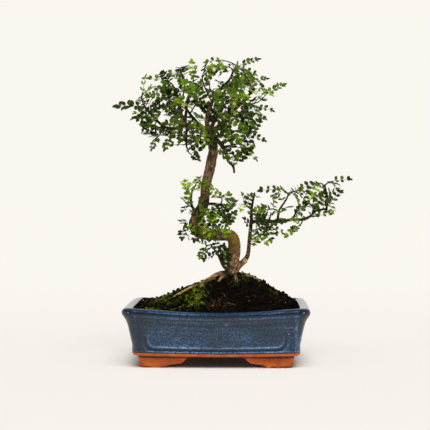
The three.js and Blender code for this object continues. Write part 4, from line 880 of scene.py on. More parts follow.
class Nodes:
    """The nodes of a material or of the light around the scene."""

    def __init__(self, tree):
        self.tree = tree

    def node(self, kind, inputs=None, **settings):
        made = self.tree.nodes.new("ShaderNode" + kind)
        for key, value in settings.items():
            setattr(made, key, value)
        for key, value in (inputs or {}).items():
            self.put(made.inputs[key], value)
        return made

    def put(self, socket, value):
        if isinstance(value, bpy.types.NodeSocket):
            self.tree.links.new(value, socket)
        else:
            socket.default_value = value

    def step(self, factor, low, high, out_low=0.0, out_high=1.0, kind="SMOOTHSTEP"):
        """A factor brought from low..high to out_low..out_high, smoothly and no further."""
        inputs = {"Value": factor, "From Min": low, "From Max": high, "To Min": out_low, "To Max": out_high}
        return self.node("MapRange", inputs, interpolation_type=kind).outputs["Result"]

    def math(self, operation, a, b=0.0):
        return self.node("Math", {0: a, 1: b}, operation=operation).outputs[0]

    def times(self, a, b):
        return self.math("MULTIPLY", a, b)

    def total(self, *terms):
        """A sum of factors and of (factor, weight) pairs."""
        added = [self.times(*term) if isinstance(term, tuple) else term for term in terms]
        result = added[0]
        for term in added[1:]:
            result = self.math("ADD", result, term)
        return result

    def around(self, factor, weight):
        """A factor's distance from a half, times a weight."""
        return self.times(self.math("SUBTRACT", factor, 0.5), weight)


class Shader(Nodes):
    """A node material that ends in one Principled BSDF."""

    def __init__(self, name, **settings):
        self.material = bpy.data.materials.new(name)
        self.material.use_nodes = True
        super().__init__(self.material.node_tree)
        self.principled = self.tree.nodes["Principled BSDF"]
        for key, value in settings.items():
            self.principled.inputs[key.replace("_", " ")].default_value = value
        self.place = self.node("TexCoord").outputs["Object"]

    def scaled(self, size, stretch=(1, 1, 1)):
        """The place in units of a size in millimetres, which are longer where stretch is larger."""
        scale = [1 / (size * MM * share) for share in stretch]
        return self.node("Mapping", {"Vector": self.place, "Scale": scale}).outputs["Vector"]

    def noise(self, size, detail=3.0, stretch=(1, 1, 1), roughness=0.5):
        """Noise between 0 and 1 with features of a size in millimetres, longer where stretch is larger."""
        place = self.scaled(size, stretch)
        inputs = {"Vector": place, "Scale": 1.0, "Detail": detail, "Roughness": roughness}
        return self.node("TexNoise", inputs).outputs[0]

    def value(self, name):
        """The number that write_values() gave each point under this name."""
        return self.node("Attribute", attribute_name=name).outputs["Fac"]

    def ramp(self, factor, stops):
        """Colours along a factor: stops are (place, web colour) pairs."""
        made = self.node("ValToRGB", {"Fac": factor})
        elements = made.color_ramp.elements
        while len(elements) < len(stops):
            elements.new(0.5)
        for element, (place, code) in zip(elements, stops):
            element.position = place
            element.color = colour(code)
        return made.outputs["Color"]

    def mix(self, factor, a, b):
        """From a at 0 to b at 1, each a web colour, a number or another node's colour."""
        made = self.node("Mix", {"Factor": factor}, data_type="RGBA")
        for index, given in ((6, a), (7, b)):
            if isinstance(given, str):
                given = colour(given)
            elif isinstance(given, float):
                given = (given, given, given, 1)
            self.put(made.inputs[index], given)
        return made.outputs[2]

    def bump(self, height, depth):
        """Relief of a depth in millimetres, in the surface that the light sees."""
        inputs = {"Height": height, "Distance": depth * MM, "Strength": 1.0}
        self.put(self.principled.inputs["Normal"], self.node("Bump", inputs).outputs["Normal"])

    def finish(self, base, roughness=None):
        self.put(self.principled.inputs["Base Color"], base)
        if roughness is not None:
            self.put(self.principled.inputs["Roughness"], roughness)
        return self.material


# Pot: one fired piece with a relief panel on each wall, glazed down to the clay foot ring

# Steps round a corner, along a long side and along a short side
WALL_STEPS = (10, 130, 90)
FOOT_STEPS = (6, 8, 6)
# Wall from the underside over the rim and down the inside: inset, height and corner radius
POT_WALL = [
    (16.4, 16.3, 13), (14.9, 16.7, 14), (13.8, 17.7, 14), (13.2, 19, 14), (13, 20.2, 14), (13.2, 20.8, 14),
    (12.9, 21.5, 13), (12.8, 22.9, 13), (13, 25.5, 13), (13.1, 28.2, 13), (12.9, 31, 13), (12.4, 33.6, 13),
    (11.8, 36.4, 13), (10.8, 42, 13), (9.7, 47.5, 13), (8.5, 52.9, 14), (7.1, 58.5, 14), (5.9, 62, 14),
    (4.4, 65.3, 14), (2.7, 68.2, 14), (1.1, 70.8, 15), (0.3, 72.8, 15), (0, 74.6, 15), (0.2, 76.2, 15),
    (1, 77.8, 14), (2.6, 79.2, 13), (5, 80.2, 12), (8.5, 80.5, 10), (11.5, 80.2, 8), (13.5, 79.6, 6),
    (14.3, 78.5, 5), (14.8, 76.5, 5), (16.4, 66, 5), (23.9, 24.5, 5),
]
# How close together the wall's levels are, and how many of the last ones lie under the soil
WALL_STEP = 1.5
HIDDEN_LEVELS = 3
UNDERSIDE_INSETS = (70, 40, 20)
UNDERSIDE_CORNER = 10
# Inset of the walls at which their sag is worked back, and of the points that count as inside
SAG_INSET = 8
INSIDE_INSET = 16
# Panel on a long wall: a rounded rectangle, and mouldings with their distance outside it, width and height
PANEL_HALF_LENGTH = 90
PANEL_MIDDLE = 40.3
PANEL_HALF_HEIGHT = 10.8
PANEL_CORNER = 9.5
PANEL_MOULDINGS = [(0, 1.3, 0.7), (3.7, 1.5, -0.35), (7.3, 1.8, 0.3)]
PANEL_TOP = 73
# Feet: how fine their skin is, how deep the sole is pressed flat, and the steps of each scroll curve
FOOT_VOXEL = 0.85
SOLE_DEPTH = 0.5
SCROLL_STEPS = 7
DRAIN_STEPS = 32
# Unevenness of the walls: height, size, and from where it rises and over how much
WOBBLE = 0.22
WOBBLE_SIZE = 24
WOBBLE_RISE = (1, 4)
# Lower edge of the glaze: height, how much and how far apart it waves, how softly it ends, and how far
# under the foot ring the feet are bare
GLAZE_EDGE = 20.8
EDGE_WAVE = 0.35
EDGE_WAVE_SIZE = 17
EDGE_FADE = 1.2
BARE_FEET = 2.5
# Bands that make the glaze paler or darker: place, width and strength. The first list lies at heights: most
# of its bands are thicker or thinner glaze, but the pale band at 77.3 is a painted highlight on the lip and
# the dark band at 74.4 painted shade under it. The second list lies at distances past a line that is
# CORNER_REACH in from a corner: a painted highlight near the corner and painted shade further round it.
GLAZE_AND_SHADING_BANDS = [(74.4, 1.3, -4.2), (77.3, 1.1, 0.9), (71.7, 1.2, 1.7), (68.4, 0.9, -0.9), (23.4, 0.9, 1.5),
               (21.1, 1.0, -3.4), (61.5, 1.6, -0.6), (56.5, 1.3, 0.35), (66, 0.9, 0.4)]
CORNER_HIGHLIGHT_AND_SHADE = [(2, 2.6, 1.4), (10, 3, -1.4)]
CORNER_REACH = 20
# Darker glaze towards both ends of the pot, and more so at the left end, where the extra darkening is painted
# shade: from where, over how much, and how much darker
DARKER_ENDS = (90, 18, 0.7)
LEFT_END_SHADE = (86, 20, 0.6)
# How strongly the relief is painted into the glaze: a painted highlight on a bead, and painted shade in a
# groove
BEAD_HIGHLIGHT = 2.7
GROOVE_SHADE = 8
# Above this height, and inside the pot, the glaze has only a share of its bands
LIP_TOP = 78.3
LIP_SHARE = 0.3
# Darker clay: strength on the sole and how high it reaches; a band of painted shade under the ledge, from the
# foot ring's underside; the sizes of the patches in both and of the soot streaks, and the strength of the
# streaks
DARK_SOLE = 1.6
DARK_SOLE_RISE = 2.3
LEDGE_SHADE = [(0.2, 0.9, 1.2)]
DARK_PATCH = 11
SOOT_STREAK = 15
STREAKS_DOWN = [1, 1, 2.6]
STREAK_SHARE = 0.55
GLAZE_COLOURS = [(0.0, "050c14"), (0.28, "0d1e2e"), (0.42, "192d44"), (0.54, "26415e"), (0.68, "38597c"),
                 (0.84, "5580aa"), (1.0, "8bb0d4")]
DARK_GLAZE = "0b1b2a"
PINHOLE_RING = "4f7aa6"
PINHOLE = "020304"
CLAY_COLOURS = [(0.25, "7a3509"), (0.42, "a94d0d"), (0.56, "c25b12"), (0.75, "d67524")]
SOOT_AND_SHADE = "2b160c"
# Pinholes in the glaze: size of the cells that hold one each, and the distances, in cells, over which a
# ring and the hole in it fade in; and those in the front wall
PINHOLE_CELL = 34
RING_EDGE = (0.074, 0.058)
HOLE_EDGE = (0.048, 0.036)
PINHOLES = [(-103.5, -90.3, 75.6), (-79.8, -80.6, 42.1), (-62.2, -79.6, 33.5), (-9.5, -85.9, 61.6),
            (54.6, -82.9, 54.5), (39.5, -85, 60), (65, -88.5, 69.5), (96.5, -82, 47.5), (-20, -79.8, 31),
            (15.5, -80.4, 38), (-45, -87, 66)]
SCREEN_COLOURS = [(0.35, "1f2320"), (0.7, "3c3f37")]
# Thickness of the screen's bars along X and along Y, and how far the middle of both is above its underside
SCREEN_BARS = (1.0, 0.8)
SCREEN_MIDDLE = 0.5
BOX = np.array([[x, y, z] for z in (-1, 1) for x, y in ((-1, -1), (1, -1), (1, 1), (-1, 1))])
BOX_FACES = [[3, 2, 1, 0], [4, 5, 6, 7], [0, 1, 5, 4], [1, 2, 6, 5], [2, 3, 7, 6], [3, 0, 4, 7]]


def sag_depth(z, across):
    """How far the clay sank between the feet at a height, from mid length (0) to an end (1)."""
    share = np.maximum(0, 1 - across ** 2) ** SAG_POWER
    return FIRING_SAG * np.maximum(LEAST_SAG_SHARE, z / POT_HEIGHT) * share


def pot_outline(inset, z, corner_radius, sagged=True, steps=WALL_STEPS):
    """One level of the pot: a rectangle with round corners and slightly bowed sides."""
    half = np.array([POT_LENGTH / 2 - inset, POT_DEPTH / 2 - inset])
    signs = [(1, -1), (1, 1), (-1, 1), (-1, -1)]
    plan = []
    for index, sign in enumerate(signs):
        centre = np.array(sign) * (half - corner_radius)
        angles = np.radians(-90 + 90 * index + 90 * np.arange(steps[0] + 1) / steps[0])
        arc = centre + corner_radius * np.stack([np.cos(angles), np.sin(angles)], 1)
        turned = np.array(signs[(index + 1) % 4]) * (half - corner_radius)
        end = np.array([arc[-1][0], turned[1]] if index % 2 == 0 else [turned[0], arc[-1][1]])
        count = steps[2] if index % 2 == 0 else steps[1]
        shares = np.arange(1, count)[:, None] / count
        plan += [arc, arc[-1] + (end - arc[-1]) * shares]
    plan = np.concatenate(plan)
    across = 1 - (plan / half) ** 2
    bowed_x = plan[:, 0] * (1 + SIDE_BOW * 0.5 * across[:, 1] / half[0])
    bowed_y = plan[:, 1] * (1 + SIDE_BOW * across[:, 0] / half[1])
    level = z - (sag_depth(z, plan[:, 0] / half[0]) if sagged else np.zeros(len(plan)))
    return np.stack([bowed_x, bowed_y, level], 1)


def inner_wall(share, gap, steps):
    """A ring on the pot's inner wall, from the rim at share 0 to the floor at 1, set in by a gap."""
    top = pot_outline(INNER_TOP_INSET + gap, INNER_TOP, INNER_CORNER, True, steps)
    floor = pot_outline(INNER_FLOOR_INSET + gap, FLOOR_TOP, INNER_CORNER, False, steps)
    return top + (floor - top) * share


def wall_profile():
    """The wall's levels, closer together than in POT_WALL and on a smooth line through them."""
    curve = Curve(POT_WALL)
    levels = []
    for k in range(curve.spans):
        length = math.dist(POT_WALL[k][:2], POT_WALL[k + 1][:2])
        hidden = k >= len(POT_WALL) - HIDDEN_LEVELS
        parts = 1 if hidden else max(1, round(length / WALL_STEP))
        levels += [curve.point((k + i / parts) / curve.spans) for i in range(parts)]
    return levels + [curve.point(1)]


def panel_relief(points, level):
    """How far the panels' mouldings stand proud of the walls at points."""
    beyond = np.abs(points[:, :2]) - [POT_LENGTH / 2, POT_DEPTH / 2]
    long_wall = beyond[:, 1] > beyond[:, 0]
    along = np.where(long_wall, points[:, 0], points[:, 1])
    half_length = np.where(long_wall, PANEL_HALF_LENGTH, PANEL_HALF_LENGTH - (POT_LENGTH - POT_DEPTH) / 2)
    dx = np.abs(along) - half_length + PANEL_CORNER
    dz = np.abs(level - PANEL_MIDDLE) - PANEL_HALF_HEIGHT + PANEL_CORNER
    outside = np.hypot(np.maximum(dx, 0), np.maximum(dz, 0)) + np.minimum(np.maximum(dx, dz), 0)
    return bands(outside - PANEL_CORNER, PANEL_MOULDINGS)


def foot_profile(base, scroll):
    """Side of a foot's arm: flat on the table, then a scroll that rises to the foot ring."""
    heel = FOOT_SPLAY + base

    def bezier(points):
        a, b, c, d = np.array(points, float)
        t = np.arange(1, SCROLL_STEPS + 1)[:, None] / SCROLL_STEPS
        return (1 - t) ** 3 * a + 3 * (1 - t) ** 2 * t * b + 3 * (1 - t) * t ** 2 * c + t ** 3 * d

    low, high = [bezier([(heel + share * scroll, z) for share, z in curve]) for curve in SCROLL_CURVES]
    return np.concatenate([[(0, FOOT_TOP), (0, 0), (heel, 0)], low, high, [(heel + scroll, FOOT_TOP)]])


def foot_arm(name, size, turned):
    """One arm of a corner bracket, along X or turned along Y."""
    profile = foot_profile(*size)
    rings = []
    for depth in (0, FOOT_THICK):
        x, z = profile[:, 0], profile[:, 1]
        y = np.full(len(x), float(depth))
        rings.append(np.stack([y, x, z] if turned else [x, y, z], 1))
    count = len(profile)
    sides = grid_faces(2, count).tolist()
    ends = [list(range(count))[::-1], list(range(count, 2 * count))]
    faces = sides + ends
    if not turned:
        faces = [face[::-1] for face in faces]
    corner = np.array([-(POT_LENGTH / 2 - FOOT_INSET), -(POT_DEPTH / 2 - FOOT_INSET), 0])
    return mesh_piece(name, np.concatenate(rings) + corner, faces, [])


def corner_foot():
    """Points and faces of the front left foot, its edges worn round."""
    foot = foot_arm("foot", FOOT_LONG, False)
    cut_or_join(foot, foot_arm("foot_across", FOOT_SHORT, True), "UNION")
    low = pot_outline(FOOT_INSET + FOOT_SPLAY, 0, FOOT_CORNER, False, FOOT_STEPS)
    high = pot_outline(FOOT_INSET, FOOT_TOP, FOOT_CORNER, False, FOOT_STEPS)
    room = capped([low, high], [0, 0, 0], [0, 0, FOOT_TOP])
    cut_or_join(foot, mesh_piece("foot_room", *room, []), "INTERSECT")
    apply_modifier(foot, "REMESH", mode="VOXEL", voxel_size=FOOT_VOXEL * MM)
    apply_modifier(foot, "SMOOTH", iterations=4, factor=0.5)
    points = points_of(foot.data)
    points[points[:, 2] < SOLE_DEPTH, 2] = 0
    faces = [list(face.vertices) for face in foot.data.polygons]
    bpy.data.objects.remove(foot)
    return points, faces


def pot_body():
    """The pot without its feet: from the middle of its underside up the walls and down to its floor."""
    rings = [pot_outline(inset, FOOT_RING_BOTTOM, UNDERSIDE_CORNER) for inset in UNDERSIDE_INSETS]
    for inset, z, radius in wall_profile():
        ring = pot_outline(inset, z, radius)
        if GLAZE_EDGE < z < PANEL_TOP and inset < INSIDE_INSET:
            ahead, behind = np.roll(ring, -1, 0), np.roll(ring, 1, 0)
            level = np.zeros(len(ring))
            outward = np.stack([ahead[:, 1] - behind[:, 1], behind[:, 0] - ahead[:, 0], level], 1)
            ring = ring + unit_rows(outward) * panel_relief(ring, level + z)[:, None]
        rings.append(ring)
    rings.append(pot_outline(POT_WALL[-1][0], FLOOR_TOP, INNER_CORNER, False))
    bottom = FOOT_RING_BOTTOM - FIRING_SAG * LEAST_SAG_SHARE
    return mesh_piece("glazed_pot", *capped(rings, [0, 0, bottom], [0, 0, FLOOR_TOP]), [])


def add_feet(pot):
    points, faces = corner_foot()
    for mirror in ((1, 1, 1), (-1, 1, 1), (1, -1, 1), (-1, -1, 1)):
        turned = [face[::-1] for face in faces] if mirror[0] * mirror[1] < 0 else faces
        cut_or_join(pot, mesh_piece("foot_copy", points * np.array(mirror), turned, []), "UNION")


def drill_drains(pot):
    for side in (-1, 1):
        middle = np.array([side * DRAIN_SPACING / 2, 0, 0])
        up = 2 * FLOOR_TOP * UP
        ring = ring_around(middle, np.array([1, 0, 0]), np.array([0, 1, 0]), DRAIN_RADIUS, DRAIN_STEPS)
        hole = capped([ring, ring + up], middle, middle + up)
        cut_or_join(pot, mesh_piece("drain_hole", *hole, []), "DIFFERENCE")


def build_pot():
    pot = pot_body()
    add_feet(pot)
    drill_drains(pot)
    points = points_of(pot.data)
    across = np.clip(points[:, 0] / (POT_LENGTH / 2 - SAG_INSET), -1, 1)
    # Height that each point had before the clay sank
    level = points[:, 2] + sag_depth(points[:, 2], across)
    level = points[:, 2] + sag_depth(level, across)
    inner = [POT_LENGTH / 2 - INSIDE_INSET, POT_DEPTH / 2 - INSIDE_INSET]
    inside = np.max(np.abs(points[:, :2]) / inner, axis=1) < 1
    wobble = WOBBLE * noise_at(points, WOBBLE_SIZE, 2) * rising(points[:, 2], *WOBBLE_RISE)
    wobble[inside] = 0
    move_points(pot.data, points + read_vectors(pot.data, "normal") * wobble[:, None])
    above_feet = points[:, 2] >= FOOT_RING_BOTTOM - BARE_FEET
    waved = level + EDGE_WAVE * noise_at(points, EDGE_WAVE_SIZE)
    write_values(
        pot.data, glazed=rising(waved, GLAZE_EDGE - EDGE_FADE / 2, EDGE_FADE) * above_feet,
        thick=glaze_thickness_and_shading(points, level, inside), stain=clay_stain_and_shade(points, level))
    finish_mesh(pot.data, [glaze_and_clay()], sharp_angle=60)
    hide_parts("pot")
    return pot


def glaze_thickness_and_shading(points, level, inside):
    """How thick the glaze runs, pale above 0 and dark below 0, with painted highlights on the beads, lip and
    corners and painted shade in the grooves, under the lip, round the corners and at the left end.
    """
    relief = panel_relief(points, level)
    # The relief's painted highlight and shade are strongest along its lower edge and fade towards its top
    low = np.clip((PANEL_MIDDLE - level) / 8, -0.9, 1) * 0.5 + 0.5
    thick = low * (BEAD_HIGHLIGHT * np.maximum(relief, 0) + GROOVE_SHADE * np.minimum(relief, 0))
    # Bands of thicker or thinner glaze, with a painted highlight on the lip and painted shade under it
    thick += bands(level, GLAZE_AND_SHADING_BANDS)
    # Painted highlight near each corner, and painted shade further round it
    edge = np.array([POT_LENGTH / 2, POT_DEPTH / 2]) - CORNER_REACH
    thick += bands(np.min(np.abs(points[:, :2]) - edge, axis=1), CORNER_HIGHLIGHT_AND_SHADE)
    # Darker towards both ends, and painted shade at the left end
    for far, (start, reach, share) in ((np.abs(points[:, 0]), DARKER_ENDS), (-points[:, 0], LEFT_END_SHADE)):
        thick -= share * rising(far, start, reach)
    thick[inside | (level > LIP_TOP)] *= LIP_SHARE
    return thick


def clay_stain_and_shade(points, level):
    """Darker bare clay: soot and water marks in streaks, darker low on the feet, and painted shade under the
    ledge and on the underside.
    """
    low = DARK_SOLE * np.exp(-np.clip(points[:, 2], 0, None) / DARK_SOLE_RISE)
    # A band of painted shade under the ledge
    under = bands(level - FOOT_RING_BOTTOM, LEDGE_SHADE)
    patchy = np.clip(0.7 + 0.8 * noise_at(points, DARK_PATCH, 2), 0.25, 1)
    streak = np.clip(1.4 * noise_at(points * STREAKS_DOWN, SOOT_STREAK, 2) - 0.35, 0, 1)
    # Painted shade on the pot's underside, below the glaze
    underside = FOOT_RING_BOTTOM - FIRING_SAG * LEAST_SAG_SHARE
    below = (np.abs(points[:, 2] - underside) < 2) & (level < GLAZE_EDGE - 4)
    return np.clip((low + under) * patchy + STREAK_SHARE * streak + below, 0, 1)


def glaze_and_clay():
    """Slate blue glaze with fine streaks, thick and pale or thin and dark, with painted highlights and shade,
    and bare orange clay below it with soot and painted shade.
    """
    shader = Shader("glazed_clay", IOR=1.5)
    # Besides thicker and thinner glaze, this holds painted highlights on the beads, the lip and the corners,
    # and painted shade in the grooves, under the lip, round the corners and at the left end
    thick = shader.value("thick")
    speckle = shader.noise(1.4, 3, roughness=0.55)
    streaks = shader.noise(7, 4, stretch=(7, 7, 0.5), roughness=0.6)
    drift = shader.noise(34, 3, stretch=(1.5, 1.5, 0.8))
    tone = shader.total((speckle, 0.65), 0.27, (streaks, 0.26), (drift, 0.34), (thick, 0.13))
    glaze = shader.ramp(shader.step(tone, 0.45, 1.25, 0, 1, "LINEAR"), GLAZE_COLOURS)
    grainy = shader.total(shader.noise(1.9, 2, roughness=0.6), (thick, 0.05))
    glaze = shader.mix(shader.step(grainy, 0.58, 0.44, 0, 0.85), glaze, DARK_GLAZE)
    cells = {"Vector": shader.scaled(PINHOLE_CELL), "Scale": 1.0}
    spots = shader.node("TexVoronoi", cells).outputs["Distance"]
    for place in PINHOLES:
        away = shader.node("VectorMath", {0: shader.place, 1: placed([place])[0]}, operation="DISTANCE")
        spots = shader.math("MINIMUM", spots, shader.times(away.outputs["Value"], 1 / (PINHOLE_CELL * MM)))
    glaze = shader.mix(shader.step(spots, *RING_EDGE), glaze, PINHOLE_RING)
    glaze = shader.mix(shader.step(spots, *HOLE_EDGE), glaze, PINHOLE)
    grain = shader.noise(0.9, 4, roughness=0.7)
    clay = shader.ramp(shader.total((grain, 0.35), (shader.noise(13, 4), 0.7)), CLAY_COLOURS)
    # Soot streaks, darker soles, and painted shade under the ledge and on the underside
    soot_and_shade_mask = shader.step(shader.total(shader.value("stain"), (grain, 0.3)), 0.45, 1.05)
    clay = shader.mix(shader.times(soot_and_shade_mask, 0.85), clay, SOOT_AND_SHADE)
    glazed = shader.step(shader.value("glazed"), 0.42, 0.58)
    pits = shader.step(spots, HOLE_EDGE[1], RING_EDGE[0])
    bare = shader.mix(glazed, grain, "000000")
    shader.bump(shader.total((speckle, 0.12), (pits, 0.8), (glazed, 1.4), (bare, 0.8)), 0.16)
    return shader.finish(shader.mix(glazed, clay, glaze), shader.mix(glazed, 0.78, 0.1))


def build_screen(side, node):
    """A plastic screen of crossing bars over a drain hole."""
    pitch = (SCREEN_SIZE - SCREEN_BAR) / SCREEN_CELLS
    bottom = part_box(node)[0][2] / MM
    parts = []
    for i in range(SCREEN_CELLS + 1):
        off = i * pitch - (SCREEN_SIZE - SCREEN_BAR) / 2
        for turned, thick in enumerate(SCREEN_BARS):
            bar = BOX * np.array([SCREEN_SIZE, SCREEN_BAR, thick]) / 2 + [0, off, bottom + SCREEN_MIDDLE]
            if turned:
                bar = bar[:, [1, 0, 2]] * [-1, 1, 1]
            parts.append((bar + [side * DRAIN_SPACING / 2, 0, 0], BOX_FACES))
    shader = Shader("screen_plastic", Roughness=0.55)
    dust = shader.noise(3, 4)
    shader.bump(dust, 0.05)
    plastic = shader.finish(shader.ramp(dust, SCREEN_COLOURS))
    screen = mesh_piece(f"{node}_mesh", *merged(parts), [plastic], sharp_angle=30)
    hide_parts(node)
    return screen


# Soil: dark peaty earth heaped up to the tree, with crumbs, chips, fibres and moss on it

# Rings of the surface, how far out from the peak they go, and the steps round each
SOIL_RINGS = 64
SOIL_REACH = (0.985, 0.02)
SOIL_STEPS = (4, 56, 40)
# Gap between the soil and the wall, at its edge and at its floor
EDGE_GAP = 0.3
FLOOR_GAP = 0.5
# Roughness of the surface: height and size of its lumps and of its grains
SOIL_LUMPS = (1.1, 8)
SOIL_GRAINS = (0.6, 1.9)
# Tones from 0 black to 1 pale: of the surface, with what its roughness adds and the most it comes to; of
# crumbs at most, and how rare that is; and of clods at most
SURFACE_TONE = (0.2, 0.1, 0.4)
CRUMB_TONE = (0.5, 2.4)
CLOD_TONE = 0.28
# Loose earth against the wall: height, and the share of the way out where it starts
EDGE_FILL = 5.4
EDGE_FILL_FROM = 0.76
EDGE_FILL_ROUND = 0.3
HALF_SOIL = np.array([POT_LENGTH, POT_DEPTH]) / 2 - INNER_TOP_INSET
SLOPE_STEP = 0.8
# How far from the wall loose things lie, and the radius of the corners of their field
WALL_GAP = 1.6
SPREAD_CORNER = 4
# Crumbs and clods of earth: how many, least size and largest
CRUMBS = (5200, 0.25, 1.5)
CLODS = (620, 1.0, 3.0)
# How rare the large ones are, how much their widths differ, how far they stand out, and how rough they are
CRUMB_RARITY = 2.5
CRUMB_WIDTHS = (0.55, 1.2)
CRUMB_LIFT = 0.25
CRUMB_ROUGHNESS = 0.11
# Fine roots: how many, what each is made of, their lengths, radii, tones, bends and arches, and how far out
# they may lie
FIBRES = 320
FIBRE_PLACES = 6
FIBRE_SIDES = 4
FIBRE_POINTS = FIBRE_PLACES * FIBRE_SIDES + 2
FIBRE_LENGTH = (5, 14)
FIBRE_RADIUS = (0.12, 0.28)
FIBRE_TONE = (0.28, 0.78)
FIBRE_BEND = 0.35
FIBRE_ARCH = (0.4, 1.7)
FIBRE_SUNK = 0.5
FIBRE_LIMITS = (107, 75)
# Share of them that lies in a tangle at the front, its middle and spread along x and y, and its y range
TANGLE_SHARE = 0.18
TANGLE_X = (4, 9)
TANGLE_Y = (-64, 6)
TANGLE_RANGE = (-76, -40)
# Bits of bark on the soil: x, y, length. Each is half as wide as long.
CHIP_THICK = 0.7
CHIP_LIFT = 0.9
CHIPS = [(-94, -58, 5), (-90, -58, 4), (-48, -60, 4), (-33, -58, 4), (-40, -46, 3), (-4, -66, 3),
         (44, -60, 2), (69, 20, 5), (-64, 40, 5), (18, 60, 4), (93, -40, 3), (-104, 10, 4), (87, 48, 3)]
OCTAHEDRON = np.array([[1, 0, 0], [0, 1, 0], [-1, 0, 0], [0, -1, 0], [0, 0, 1], [0, 0, -1]], float)
OCTAHEDRON_FACES = [[0, 1, 4], [1, 2, 4], [2, 3, 4], [3, 0, 4], [1, 0, 5], [2, 1, 5], [3, 2, 5], [0, 3, 5]]
SOIL_COLOURS = [(0.0, "030202"), (0.22, "0c0805"), (0.38, "1b140c"), (0.54, "3b2c1a"), (0.76, "80603a"),
                (1.0, "cf9a5c")]
MOSS_SHOOTS = 19000
MOSS_HEIGHT = (1.1, 2.6)
MOSS_WIDTH = (0.32, 0.6)
MOSS_LEAN = 0.38
MOSS_SUNK = 0.4
# Tint from 0 dark to 1 yellow: where moss is thin, what dense moss adds, how shoots differ, and the depth
# and size of clouds in it
MOSS_TINT = (0.25, 0.5)
MOSS_VARIES = 0.13
MOSS_CLOUDS = (0.2, 12)
# Places with moss, in plan: middle x, y, reach along x and y, and how densely it grows there
MOSS_PATCHES = [
    (-23, -38, 13, 30, 1.0), (-66, -66, 11, 7, 0.95), (-36, -55, 14, 11, 0.55), (-86, -56, 16, 12, 0.6),
    (-60, -40, 24, 12, 0.5), (-73, -10, 26, 30, 0.5), (36, -8, 12, 9, 0.45), (-43, 20, 40, 30, 0.5),
    (53, 30, 35, 25, 0.45), (-3, 45, 45, 20, 0.5), (78, -20, 9, 9, 0.5), (8, 28, 14, 10, 0.6),
    (-5, -10, 14, 9, 0.7), (30, -24, 13, 12, 0.5), (-46, -34, 12, 9, 0.6),
]
SPIKE = np.array([[0, 0, 1], [1, 0, 0], [-0.5, 0.87, 0], [-0.5, -0.87, 0]])
SPIKE_FACES = [[0, 1, 2], [0, 2, 3], [0, 3, 1], [3, 2, 1]]
MOSS_COLOURS = [(0.0, "323706"), (0.3, "535f0a"), (0.55, "778b10"), (0.78, "98b01c"), (1.0, "c8d348")]
MOSS_BASE = "1a1d05"


def mound_height(x, y):
    """Height of the soil's surface, as in the part's source: down to the sagged wall at its edge."""
    dx, dy = x - SOIL_PEAK[0], y - SOIL_PEAK[1]
    half_x, half_y = HALF_SOIL
    out_x = np.abs(dx) / (half_x - np.sign(dx) * SOIL_PEAK[0])
    out_y = np.abs(dy) / (half_y - np.sign(dy) * SOIL_PEAK[1])
    out = (out_x ** MOUND_SQUARENESS + out_y ** MOUND_SQUARENESS) ** (1 / MOUND_SQUARENESS)
    share = np.minimum(1, out)
    fullness = MOUND_FULLNESS + (MOUND_SKEW * dx) / (np.abs(dx) + MOUND_SKEW_REACH)
    coarse = np.sin(x * LUMP_WAVES["x"] + 1) * np.cos(y * LUMP_WAVES["y"])
    fine = np.sin(x * LUMP_WAVES["fine_x"] - y * LUMP_WAVES["fine_y"])
    lumps = LUMP_HEIGHT * (coarse + 0.5 * fine) * (1 - share)
    settled = sag_depth(SOIL_EDGE, x / half_x) * share ** 2
    return SOIL_EDGE + SOIL_RISE * (1 - share ** fullness) + lumps - settled


def surface_height(x, y):
    """The mound with the loose earth that is heaped against the wall."""
    out = np.maximum(np.abs(x) / HALF_SOIL[0], np.abs(y) / HALF_SOIL[1])
    near = rising(out, EDGE_FILL_FROM, 1 - EDGE_FILL_FROM)
    return mound_height(x, y) + EDGE_FILL * near * (1 - EDGE_FILL_ROUND * near)


def ground(x, y):
    """Points on the soil, and the soil's upward direction there."""
    step = SLOPE_STEP
    slope_x = (surface_height(x + step, y) - surface_height(x - step, y)) / (2 * step)
    slope_y = (surface_height(x, y + step) - surface_height(x, y - step)) / (2 * step)
    upward = unit_rows(np.stack([-slope_x, -slope_y, np.ones(len(x))], 1))
    return np.stack([x, y, surface_height(x, y)], 1), upward


def scattered(count):
    """Plan points spread over the soil, inside the pot's wall."""
    half = HALF_SOIL - WALL_GAP
    plan = random.uniform(-1, 1, (count, 2)) * half
    corner = np.abs(plan) - (half - SPREAD_CORNER)
    kept = np.hypot(*np.maximum(corner, 0).T) < SPREAD_CORNER
    return plan[kept, 0], plan[kept, 1]


def moss_density(x, y):
    density = np.zeros(len(x))
    for middle_x, middle_y, reach_x, reach_y, strength in MOSS_PATCHES:
        far = ((x - middle_x) / reach_x) ** 2 + ((y - middle_y) / reach_y) ** 2
        density = np.maximum(density, strength * np.exp(-far ** 1.5))
    plan = np.stack([x, y, np.zeros(len(x))], 1)
    return density * np.clip(0.75 + 1.1 * noise_at(plan, 9, 2), 0, 1.3)


def random_turns(count):
    """Random rotation matrices."""
    w, x, y, z = unit_rows(random.normal(size=(count, 4))).T
    return np.stack([
        np.stack([1 - 2 * (y * y + z * z), 2 * (x * y + z * w), 2 * (x * z - y * w)], 1),
        np.stack([2 * (x * y - z * w), 1 - 2 * (x * x + z * z), 2 * (y * z + x * w)], 1),
        np.stack([2 * (x * z + y * w), 2 * (y * z - x * w), 1 - 2 * (x * x + y * y)], 1),
    ], 1)


